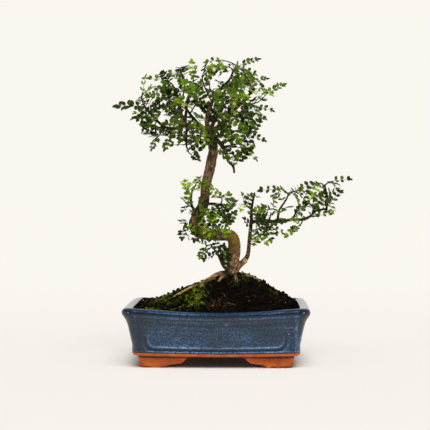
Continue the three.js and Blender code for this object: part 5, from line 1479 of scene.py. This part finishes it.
def crumbs(count, least, most, template, template_faces):
    """Bits of earth of many shapes, half sunk: points, faces and a tone for each point."""
    x, y = scattered(count)
    places, up = ground(x, y)
    size = least + (most - least) * random.uniform(0.3, 1.0, len(x)) ** CRUMB_RARITY
    shape = size[:, None, None] * random.uniform(*CRUMB_WIDTHS, (len(x), 3, 1))
    frames = shape * random_turns(len(x))
    points, faces = copies(template, template_faces, frames, places + up * (size * CRUMB_LIFT)[:, None])
    spread = np.repeat(CRUMB_ROUGHNESS * size, len(template))[:, None]
    points += random.normal(size=points.shape) * spread
    return points, faces, np.repeat(random.uniform(0, 1, len(x)), len(template))


def rounder(points, faces):
    """Each face of a template cut in four, with the new points as far out as the old ones."""
    points, split, middles = points.tolist(), [], {}

    def middle(a, b):
        key = (min(a, b), max(a, b))
        if key not in middles:
            middles[key] = len(points)
            points.append(unit(np.array(points[a]) + np.array(points[b])).tolist())
        return middles[key]

    for a, b, c in faces:
        ab, bc, ca = middle(a, b), middle(b, c), middle(c, a)
        split += [[a, ab, ca], [ab, b, bc], [ca, bc, c], [ab, bc, ca]]
    return np.array(points), split


def chips():
    """Flat bits of bark, as light as cut wood."""
    parts = []
    for x, y, length in CHIPS:
        place, up = ground(np.array([float(x)]), np.array([float(y)]))
        along = unit(np.cross(up[0], random.normal(size=3)))
        across = np.cross(up[0], along)
        frame = np.array([[along * length / 2, across * length / 4, up[0] * CHIP_THICK]])
        parts.append(copies(OCTAHEDRON, OCTAHEDRON_FACES, frame, place + up * CHIP_LIFT))
    return merged(parts)


def fibres():
    """Fine roots that arch out of the soil and back in, with a tone for each of their points."""
    x, y = scattered(FIBRES)
    tangled = random.uniform(size=len(x)) < TANGLE_SHARE
    x[tangled] = random.normal(*TANGLE_X, tangled.sum())
    y[tangled] = random.normal(*TANGLE_Y, tangled.sum()).clip(*TANGLE_RANGE)
    share = np.linspace(-0.5, 0.5, FIBRE_PLACES)
    most_x, most_y = FIBRE_LIMITS
    parts = []
    for px, py in zip(x, y):
        heading = random.uniform(0, 2 * np.pi)
        length = random.uniform(*FIBRE_LENGTH)
        way = heading + random.normal(scale=FIBRE_BEND) * share * 2
        along_x = np.clip(px + length * share * np.cos(way), -most_x, most_x)
        along_y = np.clip(py + length * share * np.sin(way), -most_y, most_y)
        places, up = ground(along_x, along_y)
        arch = (0.25 - share ** 2) * 4 * random.uniform(*FIBRE_ARCH) - FIBRE_SUNK
        parts.append(tube(places + up * arch[:, None], random.uniform(*FIBRE_RADIUS), FIBRE_SIDES))
    points, faces = merged(parts)
    return points, faces, np.repeat(random.uniform(*FIBRE_TONE, len(parts)), FIBRE_POINTS)


def build_soil():
    edge = inner_wall((INNER_TOP - SOIL_EDGE) / (INNER_TOP - FLOOR_TOP), EDGE_GAP, SOIL_STEPS)
    floor = inner_wall(1, FLOOR_GAP, SOIL_STEPS) + UP * (SOIL_BOTTOM - FLOOR_TOP)
    rings = [floor, edge]
    for share in np.linspace(*SOIL_REACH, SOIL_RINGS):
        x, y = (np.array(SOIL_PEAK) + (edge[:, :2] - SOIL_PEAK) * share).T
        rings.append(np.stack([x, y, surface_height(x, y)], 1))
    points, faces = capped(rings, [0, 0, SOIL_BOTTOM], [*SOIL_PEAK, SOIL_EDGE + SOIL_RISE])
    rough = np.zeros(len(points))
    top = slice(2 * len(edge), len(points) - 2)
    for (height, size), octaves in ((SOIL_LUMPS, 3), (SOIL_GRAINS, 2)):
        rough[top] += height * noise_at(points[top], size, octaves)
    points[:, 2] += rough
    tone, by_roughness, most = SURFACE_TONE
    parts = [(points, faces, np.clip(tone + by_roughness * rough, 0, most))]
    crumb_points, crumb_faces, drawn = crumbs(*CRUMBS, OCTAHEDRON, OCTAHEDRON_FACES)
    parts.append((crumb_points, crumb_faces, CRUMB_TONE[0] * drawn ** CRUMB_TONE[1]))
    clod_points, clod_faces, drawn = crumbs(*CLODS, *rounder(OCTAHEDRON, OCTAHEDRON_FACES))
    parts.append((clod_points, clod_faces, CLOD_TONE * drawn))
    parts.append(fibres())
    chip_points, chip_faces = chips()
    parts.append((chip_points, chip_faces, np.ones(len(chip_points))))
    soil = mesh_piece("peat_soil", *merged([part[:2] for part in parts]), [earth()], sharp_angle=35)
    write_values(soil.data, tone=np.concatenate([part[2] for part in parts]))
    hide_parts("soil")
    return soil


def earth():
    shader = Shader("soil", Roughness=0.95, Specular_IOR_Level=0.08)
    grain = shader.noise(1.3, 5, roughness=0.7)
    patches = shader.noise(16, 3)
    tone = shader.total(shader.value("tone"), shader.around(grain, 0.55), shader.around(patches, 0.4))
    shader.bump(grain, 0.5)
    return shader.finish(shader.ramp(tone, SOIL_COLOURS))


def build_moss():
    """Low moss: thousands of small pointed shoots that lean about, in cushions."""
    x, y = scattered(MOSS_SHOOTS * 3)
    density = moss_density(x, y)
    kept = random.uniform(size=len(x)) < density
    x, y, density = x[kept][:MOSS_SHOOTS], y[kept][:MOSS_SHOOTS], density[kept][:MOSS_SHOOTS]
    places, up = ground(x, y)
    count = len(x)
    lean = unit_rows(up + random.normal(scale=MOSS_LEAN, size=(count, 3)))
    across = unit_rows(np.cross(lean, random.normal(size=(count, 3))))
    height = (random.uniform(*MOSS_HEIGHT, count) * (0.6 + 0.6 * density))[:, None]
    width = random.uniform(*MOSS_WIDTH, count)[:, None]
    frames = np.stack([across * width, np.cross(lean, across) * width, lean * height], 1)
    points, faces = copies(SPIKE, SPIKE_FACES, frames, places - up * MOSS_SUNK)
    tint = MOSS_TINT[0] + MOSS_TINT[1] * density + random.normal(scale=MOSS_VARIES, size=count)
    tint = np.clip(tint, 0, 1) + MOSS_CLOUDS[0] * np.clip(noise_at(places, MOSS_CLOUDS[1]), -1, 1)
    shader = Shader("moss", Roughness=0.8, Specular_IOR_Level=0.1)
    green = shader.ramp(shader.value("tint"), MOSS_COLOURS)
    green = shader.mix(shader.step(shader.value("height"), 0.0, 0.8), MOSS_BASE, green)
    moss = mesh_piece("moss", points, faces, [shader.finish(green)], sharp_angle=180)
    write_values(moss.data, tint=np.repeat(tint, len(SPIKE)), height=np.tile(SPIKE[:, 2], count))
    return moss


# Tree: trunk, limbs and surface roots as one skin, with bark, lichen and old cuts

WOOD_VOXEL = 0.72
STEM_STEPS = 6
STEM_SIDES = 14
# Furrows, plates and lumps of the bark: size, and how high they are on the trunk
FURROWS = (2.4, 0.5)
PLATES = (5, 0.26)
LUMPS = (13, 0.8)
# Lengths along a stem count by this share for the furrows, which draws them out lengthways
FURROW_STRETCH = 0.3
# Thickness of the wood on which the relief is whole, and the least share of it on thin twigs
WHOLE_RELIEF = 7
LEAST_RELIEF = 0.12
BALL_RINGS = 6
BALL_SIDES = 12
# Old pruning cuts: where, which way the cut looks, and its radius
CUTS = [((38.7, -3.5, 138.9), (0.5, -0.85, 0.1), 3.3), ((23.5, -12, 259.8), (0.05, 0, -1), 1.6),
        ((-42.7, -10, 295.4), (0, 0, -1), 1.5), ((-60.5, -29, 83.2), (-0.9, -0.3, -0.1), 2.2),
        ((4.4, -19.5, 117), (-0.7, -0.5, -0.4), 2.4), ((-19, -7.5, 243.4), (-0.6, -0.75, 0.1), 2.2)]
# How far round a cut the wood is cut flat and looks fresh, in its radii, and how far off that fades, outward
# and inward
CUT_REACH = 1.35
CUT_LOOK = 1.2
CUT_FADE = 0.7
CUT_DEPTH = 1.2
# Burrs and knuckles on the wood: where, and radius
KNOTS = [((37.5, -1.5, 138.7), 4.3), ((-10.2, -3, 244.4), 3.2), ((-28.6, -4, 195), 5.5),
         ((23, -6, 164.6), 5), ((-13.5, -1, 312.6), 6.2), ((21, -7, 122.2), 6.5), ((-49.9, -8, 346.7), 3.2),
         ((59.4, -2, 195), 3.2)]
# Ochre lichen, and green damp wood: where, how far it reaches, and how strong it is
LICHEN = [((21, -8, 166), 17, 1.0), ((-7, -10, 177), 12, 0.6), ((24, -9, 148), 9, 0.55),
          ((-16, -4, 217), 8, 0.4), ((-30, -7, 190), 10, 0.5)]
DAMP = [((16, -8, 120), 14, 1.0), ((24, -16, 117), 11, 1.1), ((33, -8, 118), 11, 1.0),
        ((20, 8, 118), 12, 0.9), ((-26, -9, 187), 12, 0.5), ((-14, -8, 232), 8, 0.35)]
WOOD_ABOVE_ROOTS = 116
ROOT_FADE = 14
# Young wood: above this height and thinner than this radius, wholly young where thinner still by the fade
YOUNG_WOOD_ABOVE = 128
YOUNG_RADIUS = 4.96
YOUNG_FADE = 3.2
# Tone of the bark between its furrows, and how much furrows and plates change it; and how much of the
# relief is missing on a cut
BARK_TONE = (0.52, 0.55, 0.14)
CUT_SMOOTH = 0.8
# The bark is darker towards the crown, which is painted shade under it: where that starts, how far it goes
# on, and how much
SHADED_WOOD = (172, 40)
SHADED_SHARE = 0.3
BARK_COLOURS = [(0.28, "1d130a"), (0.42, "523c26"), (0.56, "826446"), (0.7, "ae8a62"), (0.88, "dab286")]
YOUNG_COLOURS = [(0.3, "0d0806"), (0.55, "1f150e"), (0.75, "3b2a1c"), (0.95, "6b5138")]
ROOT_COLOURS = [(0.3, "3a2c10"), (0.52, "80682e"), (0.75, "bfa25c")]
LICHEN_COLOURS = [(0.35, "5d4a10"), (0.6, "8a6f18"), (0.8, "a88a30")]
DAMP_COLOURS = [(0.35, "1e2410"), (0.7, "3f4a20")]
CUT_COLOURS = [(0.3, "a8713f"), (0.6, "cf9a63"), (0.85, "e2b985")]
BARK_SHADE = "20150c"
FLECK = "b07c40"


def root_points(root):
    """A surface root's plan points laid half sunk on the soil."""
    laid = []
    for index, (x, y, radius) in enumerate(root):
        z = float(mound_height(np.array([x]), np.array([y]))[0])
        laid.append([x, y, z + (ROOT_LIFT_SHARE * radius if index else -ROOT_START_DEPTH), radius])
    return laid


def stem_stations(stem):
    """Places on a stem's smooth line, with the radius, the direction and the length so far at each."""
    curve = Curve([point[:3] for point in stem])
    spans = len(stem) - 1
    share = np.arange(spans * STEM_STEPS + 1) / STEM_STEPS
    places = np.array([curve.point(s / spans) for s in share])
    radii = np.interp(share, np.arange(spans + 1), [point[3] for point in stem])
    steps = np.linalg.norm(np.diff(places, axis=0), axis=1)
    along = places[0] @ unit(places[-1] - places[0]) + np.append(0, steps.cumsum())
    return places, radii, unit_rows(np.gradient(places, axis=0)), along


def ball(middle, radius):
    middle = np.array(middle, float)
    flat = [np.array([1, 0, 0]), np.array([0, 1, 0])]
    levels = []
    for k in range(1, BALL_RINGS):
        polar = math.pi * k / BALL_RINGS
        place = middle - UP * radius * math.cos(polar)
        levels.append(ring_around(place, *flat, radius * math.sin(polar), BALL_SIDES))
    return capped(levels, middle - UP * radius, middle + UP * radius)


def spots_at(points, spots):
    """How strongly each point lies in round spots."""
    value = np.zeros(len(points))
    for middle, reach, strength in spots:
        far = np.linalg.norm(points - np.array(middle), axis=1) / reach
        value = np.maximum(value, strength * np.exp(-far ** 2))
    return value


def cut_flat(points):
    """Cuts the wood flat at the old pruning cuts, and gives how much each point lies on one."""
    on_cut = np.zeros(len(points))
    for middle, facing, radius in CUTS:
        facing = unit(np.array(facing, float))
        away = points - np.array(middle)
        depth = away @ facing
        wide = np.linalg.norm(away - depth[:, None] * facing, axis=1)
        near = (wide < radius * CUT_REACH) & (np.abs(depth) < radius)
        fresh = np.clip((radius * CUT_LOOK - wide) / CUT_FADE, 0, 1) * (depth > -CUT_DEPTH)
        on_cut = np.maximum(on_cut, near * fresh)
        points[near] -= np.clip(depth[near], 0, None)[:, None] * facing
    return on_cut


def build_wood():
    stations = [stem_stations(stem) for stem in [TRUNK, *LIMBS, *[root_points(root) for root in ROOTS]]]
    parts = [tube(places, radii, STEM_SIDES) for places, radii, _, _ in stations]
    parts += [ball(middle, radius) for middle, radius in KNOTS]
    wood = mesh_piece("bark_wood", *merged(parts), [])
    apply_modifier(wood, "REMESH", mode="VOXEL", voxel_size=WOOD_VOXEL * MM)
    apply_modifier(wood, "SMOOTH", iterations=5, factor=0.5)
    points, normals = points_of(wood.data), read_vectors(wood.data, "normal")
    places, radii, tangents, along = [np.concatenate(column) for column in zip(*stations)]
    tree = kdtree.KDTree(len(places))
    for index, place in enumerate(places.tolist()):
        tree.insert(place, index)
    tree.balance()
    nearest = np.array([tree.find(point)[1] for point in points.tolist()])
    off, tangent, thick = points - places[nearest], tangents[nearest], radii[nearest]
    lengthways = np.einsum("ij,ij->i", off, tangent)[:, None]
    drawn_out = (along[nearest][:, None] + lengthways) * FURROW_STRETCH
    furrows = noise_at(off - tangent * lengthways + tangent * drawn_out, FURROWS[0], 2)
    plates = noise_at(points, PLATES[0], 2, 7.0)
    lumps = noise_at(points, LUMPS[0], 1, 3.0)
    strength = np.clip(thick / WHOLE_RELIEF, LEAST_RELIEF, 1)
    relief = FURROWS[1] * furrows + PLATES[1] * plates + LUMPS[1] * lumps * strength
    on_cut = cut_flat(points)
    relief *= (1 - CUT_SMOOTH * on_cut) * strength
    move_points(wood.data, points + normals * relief[:, None])
    height = points[:, 2]
    tone = BARK_TONE[0] + BARK_TONE[1] * furrows + BARK_TONE[2] * plates
    write_values(
        wood.data, fissure=np.clip(tone, 0, 1), cut=on_cut,
        youth=rising(-thick, -YOUNG_RADIUS, YOUNG_FADE) * (height > YOUNG_WOOD_ABOVE),
        lichen=spots_at(points, LICHEN), damp=spots_at(points, DAMP), shaded=rising(height, *SHADED_WOOD),
        root=rising(-height, -WOOD_ABOVE_ROOTS, ROOT_FADE))
    finish_mesh(wood.data, [bark()], sharp_angle=80)
    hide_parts("tree_wood")
    return wood


def bark():
    shader = Shader("bark", Roughness=0.88, Specular_IOR_Level=0.3)
    fine = shader.noise(1.1, 5, roughness=0.65)
    fissure = shader.value("fissure")
    tone = shader.total((fissure, 0.55), (fine, 0.55), shader.around(shader.noise(7, 3), 0.45))
    old, young, rooty = [shader.ramp(tone, stops) for stops in (BARK_COLOURS, YOUNG_COLOURS, ROOT_COLOURS)]
    base = shader.mix(shader.value("root"), shader.mix(shader.value("youth"), old, young), rooty)
    # Painted shade under the crown
    base = shader.mix(shader.times(shader.value("shaded"), SHADED_SHARE), base, BARK_SHADE)
    base = shader.mix(shader.step(shader.noise(2.6, 2), 0.64, 0.72, 0, 0.55), base, FLECK)
    ragged = shader.noise(2.4, 4, roughness=0.7)
    lichen = shader.step(shader.times(shader.value("lichen"), ragged), 0.17, 0.5)
    base = shader.mix(lichen, base, shader.ramp(fine, LICHEN_COLOURS))
    damp = shader.step(shader.times(shader.value("damp"), ragged), 0.25, 0.45)
    base = shader.mix(damp, base, shader.ramp(fine, DAMP_COLOURS))
    base = shader.mix(shader.value("cut"), base, shader.ramp(fine, CUT_COLOURS))
    shader.bump(shader.total(fissure, fine), 0.35)
    return shader.finish(base)


# Leafy shoots: twigs with pinnate leaves, each leaflet a folded, slightly toothed blade

TWIG_THICK = 1.2
TWIG_THIN = 0.65
TWIG_STEPS = 4
TWIG_SIDES = 7
TWIG_TINT = 0.3
RIB_RADIUS = (0.5, 0.2)
RIB_PLACES = 9
RIB_SIDES = 5
RIB_FLAT = 0.7
# How woody a leaf's rib looks at its foot and at its end
RIB_WOODY = (0.5, 0.1)
LEAFLET_ROWS = 8
LEAFLET_PITCH = 6.2
LEAST_PAIRS = 3
# Gap between a leaf's petiole and its first pair, and that between its last pair and the end leaflet
PAIR_GAPS = (0.03, 0.04)
LEAFY_SHARE = 0.52
LEAFLET_SIZE = 0.245
LEAST_LEAFLET = 6.8
LEAFLET_WIDTH = 0.68
# Leaflets grow smaller towards both ends of a leaf: size there, how much more between, and how it varies
LEAFLET_SIZES = (0.82, 0.26)
LEAFLET_VARIES = (0.84, 1.1)
LEAFLET_STALK = 0.35
END_LEAFLET = 1.04
# Angle of a leaf's first leaflets from its rib, how much less it is at the end, and how it varies
LEAFLET_ANGLES = (72, 18, 8)
LEAFLET_SWAY = 0.1
LEAFLET_TILT = 0.24
# How far a leaflet's halves fold up, and how far it arches down, as shares of half its width and its length
LEAFLET_FOLD = (0.08, 0.36)
LEAFLET_ARCH = (0.02, 0.16)
BLADE_THICK = 0.3
# How far a leaf turns about its rib to look outward: share, and how much sideways and upward it looks
TURN_SHARE = 0.62
TURN_SIDEWAYS = 0.45
TURN_UPWARD = 0.6
TURN_MIDDLE = 24
TURN_REACH = 10
TURN_VARIES = (0.25, 0.2)
# Tint of most leaves, from 0 dark to 1 yellow: least, how much more at most, and how rare that is; and how
# much the leaflets of a leaf differ
LEAF_TINT = (0.12, 0.42, 1.4)
TINT_VARIES = 0.09
# Channels of a shoot's draws for tints
TINT_DRAW = 40
BRIGHT_DRAW = 80
# Fresh leaves are brighter: middle of the place across and up, reach, and tint
BRIGHT_PLACES = [
    ((-101, 384), 13, 0.72), ((0, 405), 9, 0.66), ((-31, 408), 11, 0.7), ((-53, 359), 7, 0.72),
    ((-33, 351), 8, 0.8), ((71, 369), 14, 0.64), ((-22, 256), 9, 0.66), ((-10, 178), 9, 0.68),
    ((36, 216), 7, 0.78), ((34, 414), 9, 0.52), ((-71, 337), 12, 0.5), ((94, 173), 12, 0.56),
    ((150, 195), 14, 0.56), ((-2, 378), 7, 0.7), ((46, 400), 8, 0.5), ((-17, 182), 6, 1.05),
    ((0, 151), 19, 0.25), ((-38, 240), 17, 0.72), ((-32, 258), 12, 0.7), ((8, 236), 14, 0.55),
    ((90, 218), 16, 0.5),
]
# How far back they reach, and how much less bright they may be
BRIGHT_BACK = 25
BRIGHT_LESS = 0.2
LEAF_COLOURS = [(0.05, "111c02"), (0.2, "263a04"), (0.36, "466208"), (0.52, "6a880f"), (0.74, "9ab720"),
                (0.95, "d2da4c")]
LEAF_EDGE = "0a1402"
LEAF_RIB = "a9bf5a"
TWIG_COLOURS = [(0.3, "2a2012"), (0.55, "4c3b22"), (0.8, "6f5a35")]


def leaflet_template():
    """A blade along X, 1 long and 1 to each side: points, faces, and how far each point is off the rib."""
    share = np.arange(LEAFLET_ROWS) / LEAFLET_ROWS
    width = np.sin(np.pi * share ** 0.86) ** 0.72
    width[0] = 0.1
    width[1:] *= 1 - 0.05 * (np.arange(1, LEAFLET_ROWS) % 2)
    points = []
    for s, w in zip(share, width):
        swell = math.sin(math.pi * (0.08 + 0.9 * s))
        points += [[s, w, 0], [s, 0, swell], [s, -w, 0], [s, 0, -swell]]
    points = np.array(points + [[1, 0, 0]])
    tip, last = len(points) - 1, len(points) - 5
    faces = [[0, 1, 2], [0, 2, 3], *grid_faces(LEAFLET_ROWS, 4)[:, [0, 3, 2, 1]].tolist()]
    faces += [[last + i, tip, last + (i + 1) % 4] for i in range(4)]
    return points, faces, np.abs(points[:, 1]) / max(width)


def turned_out(leaf):
    """The leaf turned about its rib, so that more of its upper face looks to the front or the back."""
    middle = leaf.middle()
    sideways = TURN_SIDEWAYS * (middle[0] - CROWN_CENTRE[0]) / 100 + random.normal(scale=TURN_VARIES[0])
    upward = TURN_UPWARD + random.normal(scale=TURN_VARIES[1])
    out = unit(np.array([sideways, math.tanh((middle[1] - TURN_MIDDLE) / TURN_REACH), upward]))
    upper = unit(np.cross(leaf.side, leaf.reach))
    facing = unit(upper * (1 - TURN_SHARE) + out * TURN_SHARE)
    turned = copy(leaf)
    turned.side = unit(np.cross(leaf.reach, facing))
    return turned


def leaflets_of(leaf):
    """Where a leaf's leaflets start, and each one's direction, side, length and upper face."""
    pairs = max(LEAST_PAIRS, math.floor(leaf.length * LEAFY_SHARE / LEAFLET_PITCH + 1.4))
    longest = max(leaf.length * LEAFLET_SIZE, LEAST_LEAFLET)
    last = 1 - LEAFLET_SIZE
    shares = np.linspace(PETIOLE_SHARE + PAIR_GAPS[0], last - PAIR_GAPS[1], pairs)
    place, tangent, normal = leaf.frame(np.append(shares, last))
    first, less, spread = LEAFLET_ANGLES
    made = []
    for k in range(pairs):
        size = longest * (LEAFLET_SIZES[0] + LEAFLET_SIZES[1] * math.sin(math.pi * (k + 0.7) / pairs))
        for sign in (-1, 1):
            wing = sign * leaf.side * FOLD_OUT + normal[k] * FOLD_UP
            angle = math.radians(first - less * k / pairs + random.normal(scale=spread))
            along = tangent[k] * math.cos(angle) + wing * math.sin(angle)
            direction = unit(along + random.normal(scale=LEAFLET_SWAY, size=3))
            tilt = random.normal(scale=LEAFLET_TILT, size=3)
            facing = unit(normal[k] - sign * leaf.side * FOLD_UP + tilt)
            start = place[k] + direction * LEAFLET_STALK
            made.append((start, direction, facing, size * random.uniform(*LEAFLET_VARIES)))
    facing = unit(normal[-1] + random.normal(scale=LEAFLET_SWAY, size=3))
    made.append((place[-1], tangent[-1], facing, longest * END_LEAFLET))
    return made


def tint_of(shoot, number):
    """How fresh a shoot's leaf is, from 0 dark to 1 yellow."""
    x, y, z = shoot.leaves[number].middle()
    least, more, power = LEAF_TINT
    tint = least + more * draw(shoot.tag, TINT_DRAW + number) ** power
    for (bright_x, bright_z), reach, bright in BRIGHT_PLACES:
        if math.hypot(x - bright_x, z - bright_z) < reach and y < BRIGHT_BACK:
            tint = bright - BRIGHT_LESS * draw(shoot.tag, BRIGHT_DRAW + number)
    return tint


def twig_part(shoot):
    steps = TWIG_STEPS * shoot.curve.spans
    line = [shoot.curve.point(k / steps) for k in range(steps + 1)]
    points, faces = tube(line, np.linspace(TWIG_THICK, TWIG_THIN, steps + 1), TWIG_SIDES)
    flat = np.ones(len(points))
    return points, faces, flat, 0 * flat, TWIG_TINT * flat


def rib_part(leaf, tint):
    """A leaf's stalk and rib, up to its last leaflet."""
    places = leaf.frame(np.linspace(0, 1 - LEAFLET_SIZE, RIB_PLACES))[0]
    points, faces = tube(places, np.linspace(*RIB_RADIUS, RIB_PLACES), RIB_SIDES, RIB_FLAT)
    woody = np.append(np.linspace(*RIB_WOODY, RIB_PLACES).repeat(RIB_SIDES), RIB_WOODY)
    flat = np.ones(len(points))
    return points, faces, woody, flat, tint * flat


def blades_part(leaf, template, tint):
    """A leaf's leaflets, each folded up along its rib and arched down towards its tip."""
    template_points, template_faces, across = template
    frames, starts = [], []
    for start, direction, facing, size in leaflets_of(turned_out(leaf)):
        side = unit(np.cross(facing, direction))
        upper = np.cross(direction, side)
        frames.append([direction * size, side * size * LEAFLET_WIDTH / 2, upper * BLADE_THICK / 2])
        starts.append(start)
    frames, starts = np.array(frames), np.array(starts)
    count, each = len(starts), len(template_points)
    points, faces = copies(template_points, template_faces, frames, starts)
    share, off = np.tile(template_points[:, :2], (count, 1)).T
    length = np.linalg.norm(frames[:, 0], axis=1).repeat(each)
    upper = unit_rows(frames[:, 2]).repeat(each, axis=0)
    fold = random.uniform(*LEAFLET_FOLD, count).repeat(each)
    arch = random.uniform(*LEAFLET_ARCH, count).repeat(each)
    lift = np.abs(off) * fold * length * LEAFLET_WIDTH / 2 - arch * length * share ** 2
    shade = np.clip(tint + random.normal(scale=TINT_VARIES, size=count), 0, 1).repeat(each)
    return points + upper * lift[:, None], faces, np.zeros(len(points)), 1 - np.tile(across, count), shade


def shoot_parts(shoot, template):
    """A twig and its leaves: points and faces with how woody, how near a rib and how fresh each point is."""
    parts = [twig_part(shoot)]
    for number, leaf in enumerate(shoot.leaves):
        tint = tint_of(shoot, number)
        parts += [rib_part(leaf, tint), blades_part(leaf, template, tint)]
    return parts


def leafy_piece(name, parts, material):
    piece = mesh_piece(name, *merged([part[:2] for part in parts]), [material])
    woody, rib, tint = [np.concatenate([part[index] for part in parts]) for index in (2, 3, 4)]
    write_values(piece.data, woody=woody, rib=rib, tint=tint)
    return piece


def build_leaves():
    """One piece for each shoot of the solids, and one for the further leaves of each tier."""
    template, material = leaflet_template(), leaf_green()
    shoots, room = grow_shoots()
    made = []
    for shoot in shoots:
        piece = leafy_piece(f"{shoot.name}_leaves", shoot_parts(shoot, template), material)
        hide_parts(shoot.name)
        made.append(piece)
    further = {}
    for shoot in grow_more(shoots, room):
        further.setdefault(shoot.name, []).extend(shoot_parts(shoot, template))
    made += [leafy_piece(f"{name}_leaves", parts, material) for name, parts in further.items()]
    return made


def leaf_green():
    shader = Shader("leaf", Specular_IOR_Level=0.13, Roughness=0.3)
    mottle = shader.noise(2.5, 3)
    rib = shader.value("rib")
    green = shader.ramp(shader.total(shader.value("tint"), shader.around(mottle, 0.16)), LEAF_COLOURS)
    green = shader.mix(shader.times(shader.step(rib, 0.12, 0.0), 0.45), green, LEAF_EDGE)
    pale = shader.mix(0.4, green, LEAF_RIB)
    green = shader.mix(shader.times(shader.step(rib, 0.86, 1.0), 0.65), green, pale)
    twig = shader.ramp(shader.noise(1.6, 4), TWIG_COLOURS)
    shader.bump(shader.total(mottle, rib), 0.12)
    return shader.finish(shader.mix(shader.step(shader.value("woody"), 0.15, 0.7), green, twig))


# Studio: a pale floor, soft light from above and the photograph's point of view

CAMERA_PLACE = (46.06, -1677.5, 234.7)
LENS = 101.2
AIM = (-3.34, 0, 202.5)
CLIP_END = 60
FLOOR_REACH = 14000
FLOOR_DROP = 0.05
# The floor near the object and far off, in metres, with its colours there and those of its glow; both are a
# little darker near the object, which is painted shade
FLOOR_FADE = (0.2, 1.6)
FLOOR_COLOURS = ("f3eee9", "f6f2ed")
GLOW_COLOURS = ("f6f1eb", "f9f5ef")
# Half size of the feet's footprint, and how far off and how strongly the floor glows
FOOTPRINT = (103, 71)
GLOW_REACH = 34
GLOW_SHARE = 0.55
BACKDROP = "faf6f0"
SKY = "fffdfa"
# Light from the sky: strength near the horizon and from above, and the heights between which it changes
SKY_LIGHT = (0.88, 0.25)
SKY_HEIGHTS = (0.1, 0.5)
# The part of it that comes from the front, where the room is dark, and between where that changes
SKY_FROM_FRONT = 0.55
FRONT_REACH = (-0.8, 0.1)
SUN_AIM = (0, 0, 150)
# Lights as far off as the sun: name, place, strength, softness in degrees, and whether they light
# surfaces and whether they glint on them
SUNS = [
    ("key", (190, -1250, 2100), 2.7, 38, True, False), ("left", (-1500, -950, 1150), 0.22, 9, True, True),
    ("right", (1500, -950, 1150), 0.22, 9, True, True),
    ("glint_left", (-1350, -1150, 700), 0.6, 10, False, True),
    ("glint_right", (1350, -1150, 700), 0.6, 10, False, True),
]


def aimed(made, place, target):
    made.location = placed([place])[0]
    direction = Vector(placed([target])[0]) - made.location
    made.rotation_euler = direction.to_track_quat("-Z", "Y").to_euler()
    bpy.context.scene.collection.objects.link(made)
    return made


def build_floor():
    """A pale floor, a little darker near the object as painted shade, that glows a little away from the
    object, so that the shadow beside it stays faint.
    """
    shader = Shader("stage_floor", Roughness=1.0, Specular_IOR_Level=0.0)
    shift = shader.node("VectorMath", {0: shader.place, 1: -POT_MIDDLE * MM}, operation="ADD").outputs[0]
    away = shader.node("VectorMath", {0: shift}, operation="LENGTH").outputs["Value"]
    beyond = []
    for axis, half in zip(shader.node("SeparateXYZ", {0: shift}).outputs[:2], FOOTPRINT):
        over = shader.math("SUBTRACT", shader.math("ABSOLUTE", axis), half * MM)
        beyond.append(shader.math("POWER", shader.math("MAXIMUM", over, 0.0), 2.0))
    glow = shader.step(shader.math("SQRT", shader.total(*beyond)), 0.0, GLOW_REACH * MM, 0.0, GLOW_SHARE)
    # Painted shade: the floor and its glow are a little darker near the object
    far = shader.step(away, *FLOOR_FADE)
    shader.put(shader.principled.inputs["Emission Color"], shader.mix(far, *GLOW_COLOURS))
    shader.put(shader.principled.inputs["Emission Strength"], glow)
    base = shader.mix(glow, shader.mix(far, *FLOOR_COLOURS), "000000")
    corners = np.array([[-1, -1, 0], [1, -1, 0], [1, 1, 0], [-1, 1, 0]]) * FLOOR_REACH
    mesh_piece("stage_floor", corners - UP * FLOOR_DROP, [[0, 1, 2, 3]], [shader.finish(base)])


def build_light():
    world = bpy.data.worlds.new("studio")
    bpy.context.scene.world = world
    world.use_nodes = True
    world.node_tree.nodes.clear()
    sky = Nodes(world.node_tree)
    way = sky.node("SeparateXYZ", {0: sky.node("TexCoord").outputs["Generated"]}).outputs
    from_height = sky.step(way["Z"], *SKY_HEIGHTS, *SKY_LIGHT)
    from_side = sky.step(way["Y"], *FRONT_REACH, SKY_FROM_FRONT, 1.0, "LINEAR")
    light = sky.node("Background", {"Color": colour(SKY), "Strength": sky.times(from_height, from_side)})
    seen = sky.node("Background", {"Color": colour(BACKDROP)})
    direct = sky.node("LightPath").outputs["Is Camera Ray"]
    mixed = sky.node("MixShader", {0: direct, 1: light.outputs[0], 2: seen.outputs[0]})
    sky.node("OutputWorld", {"Surface": mixed.outputs[0]})
    for name, place, strength, softness, lights, glints in SUNS:
        sun = bpy.data.lights.new(name, "SUN")
        sun.energy = strength
        sun.angle = math.radians(softness)
        lamp = aimed(bpy.data.objects.new(name, sun), place, SUN_AIM)
        lamp.visible_diffuse = lights
        lamp.visible_glossy = glints


def build_camera():
    camera = bpy.data.cameras.new("camera")
    camera.lens = LENS
    camera.clip_end = CLIP_END
    bpy.context.scene.camera = aimed(bpy.data.objects.new("camera", camera), CAMERA_PLACE, AIM)
    bpy.context.scene.view_settings.view_transform = "Standard"


build_floor()
build_light()
build_camera()
pieces = [build_pot(), build_screen(-1, "drain_screen_left"), build_screen(1, "drain_screen_right")]
pieces += [build_soil(), build_moss(), build_wood(), *build_leaves()]
for piece in pieces:
    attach(piece, "root")
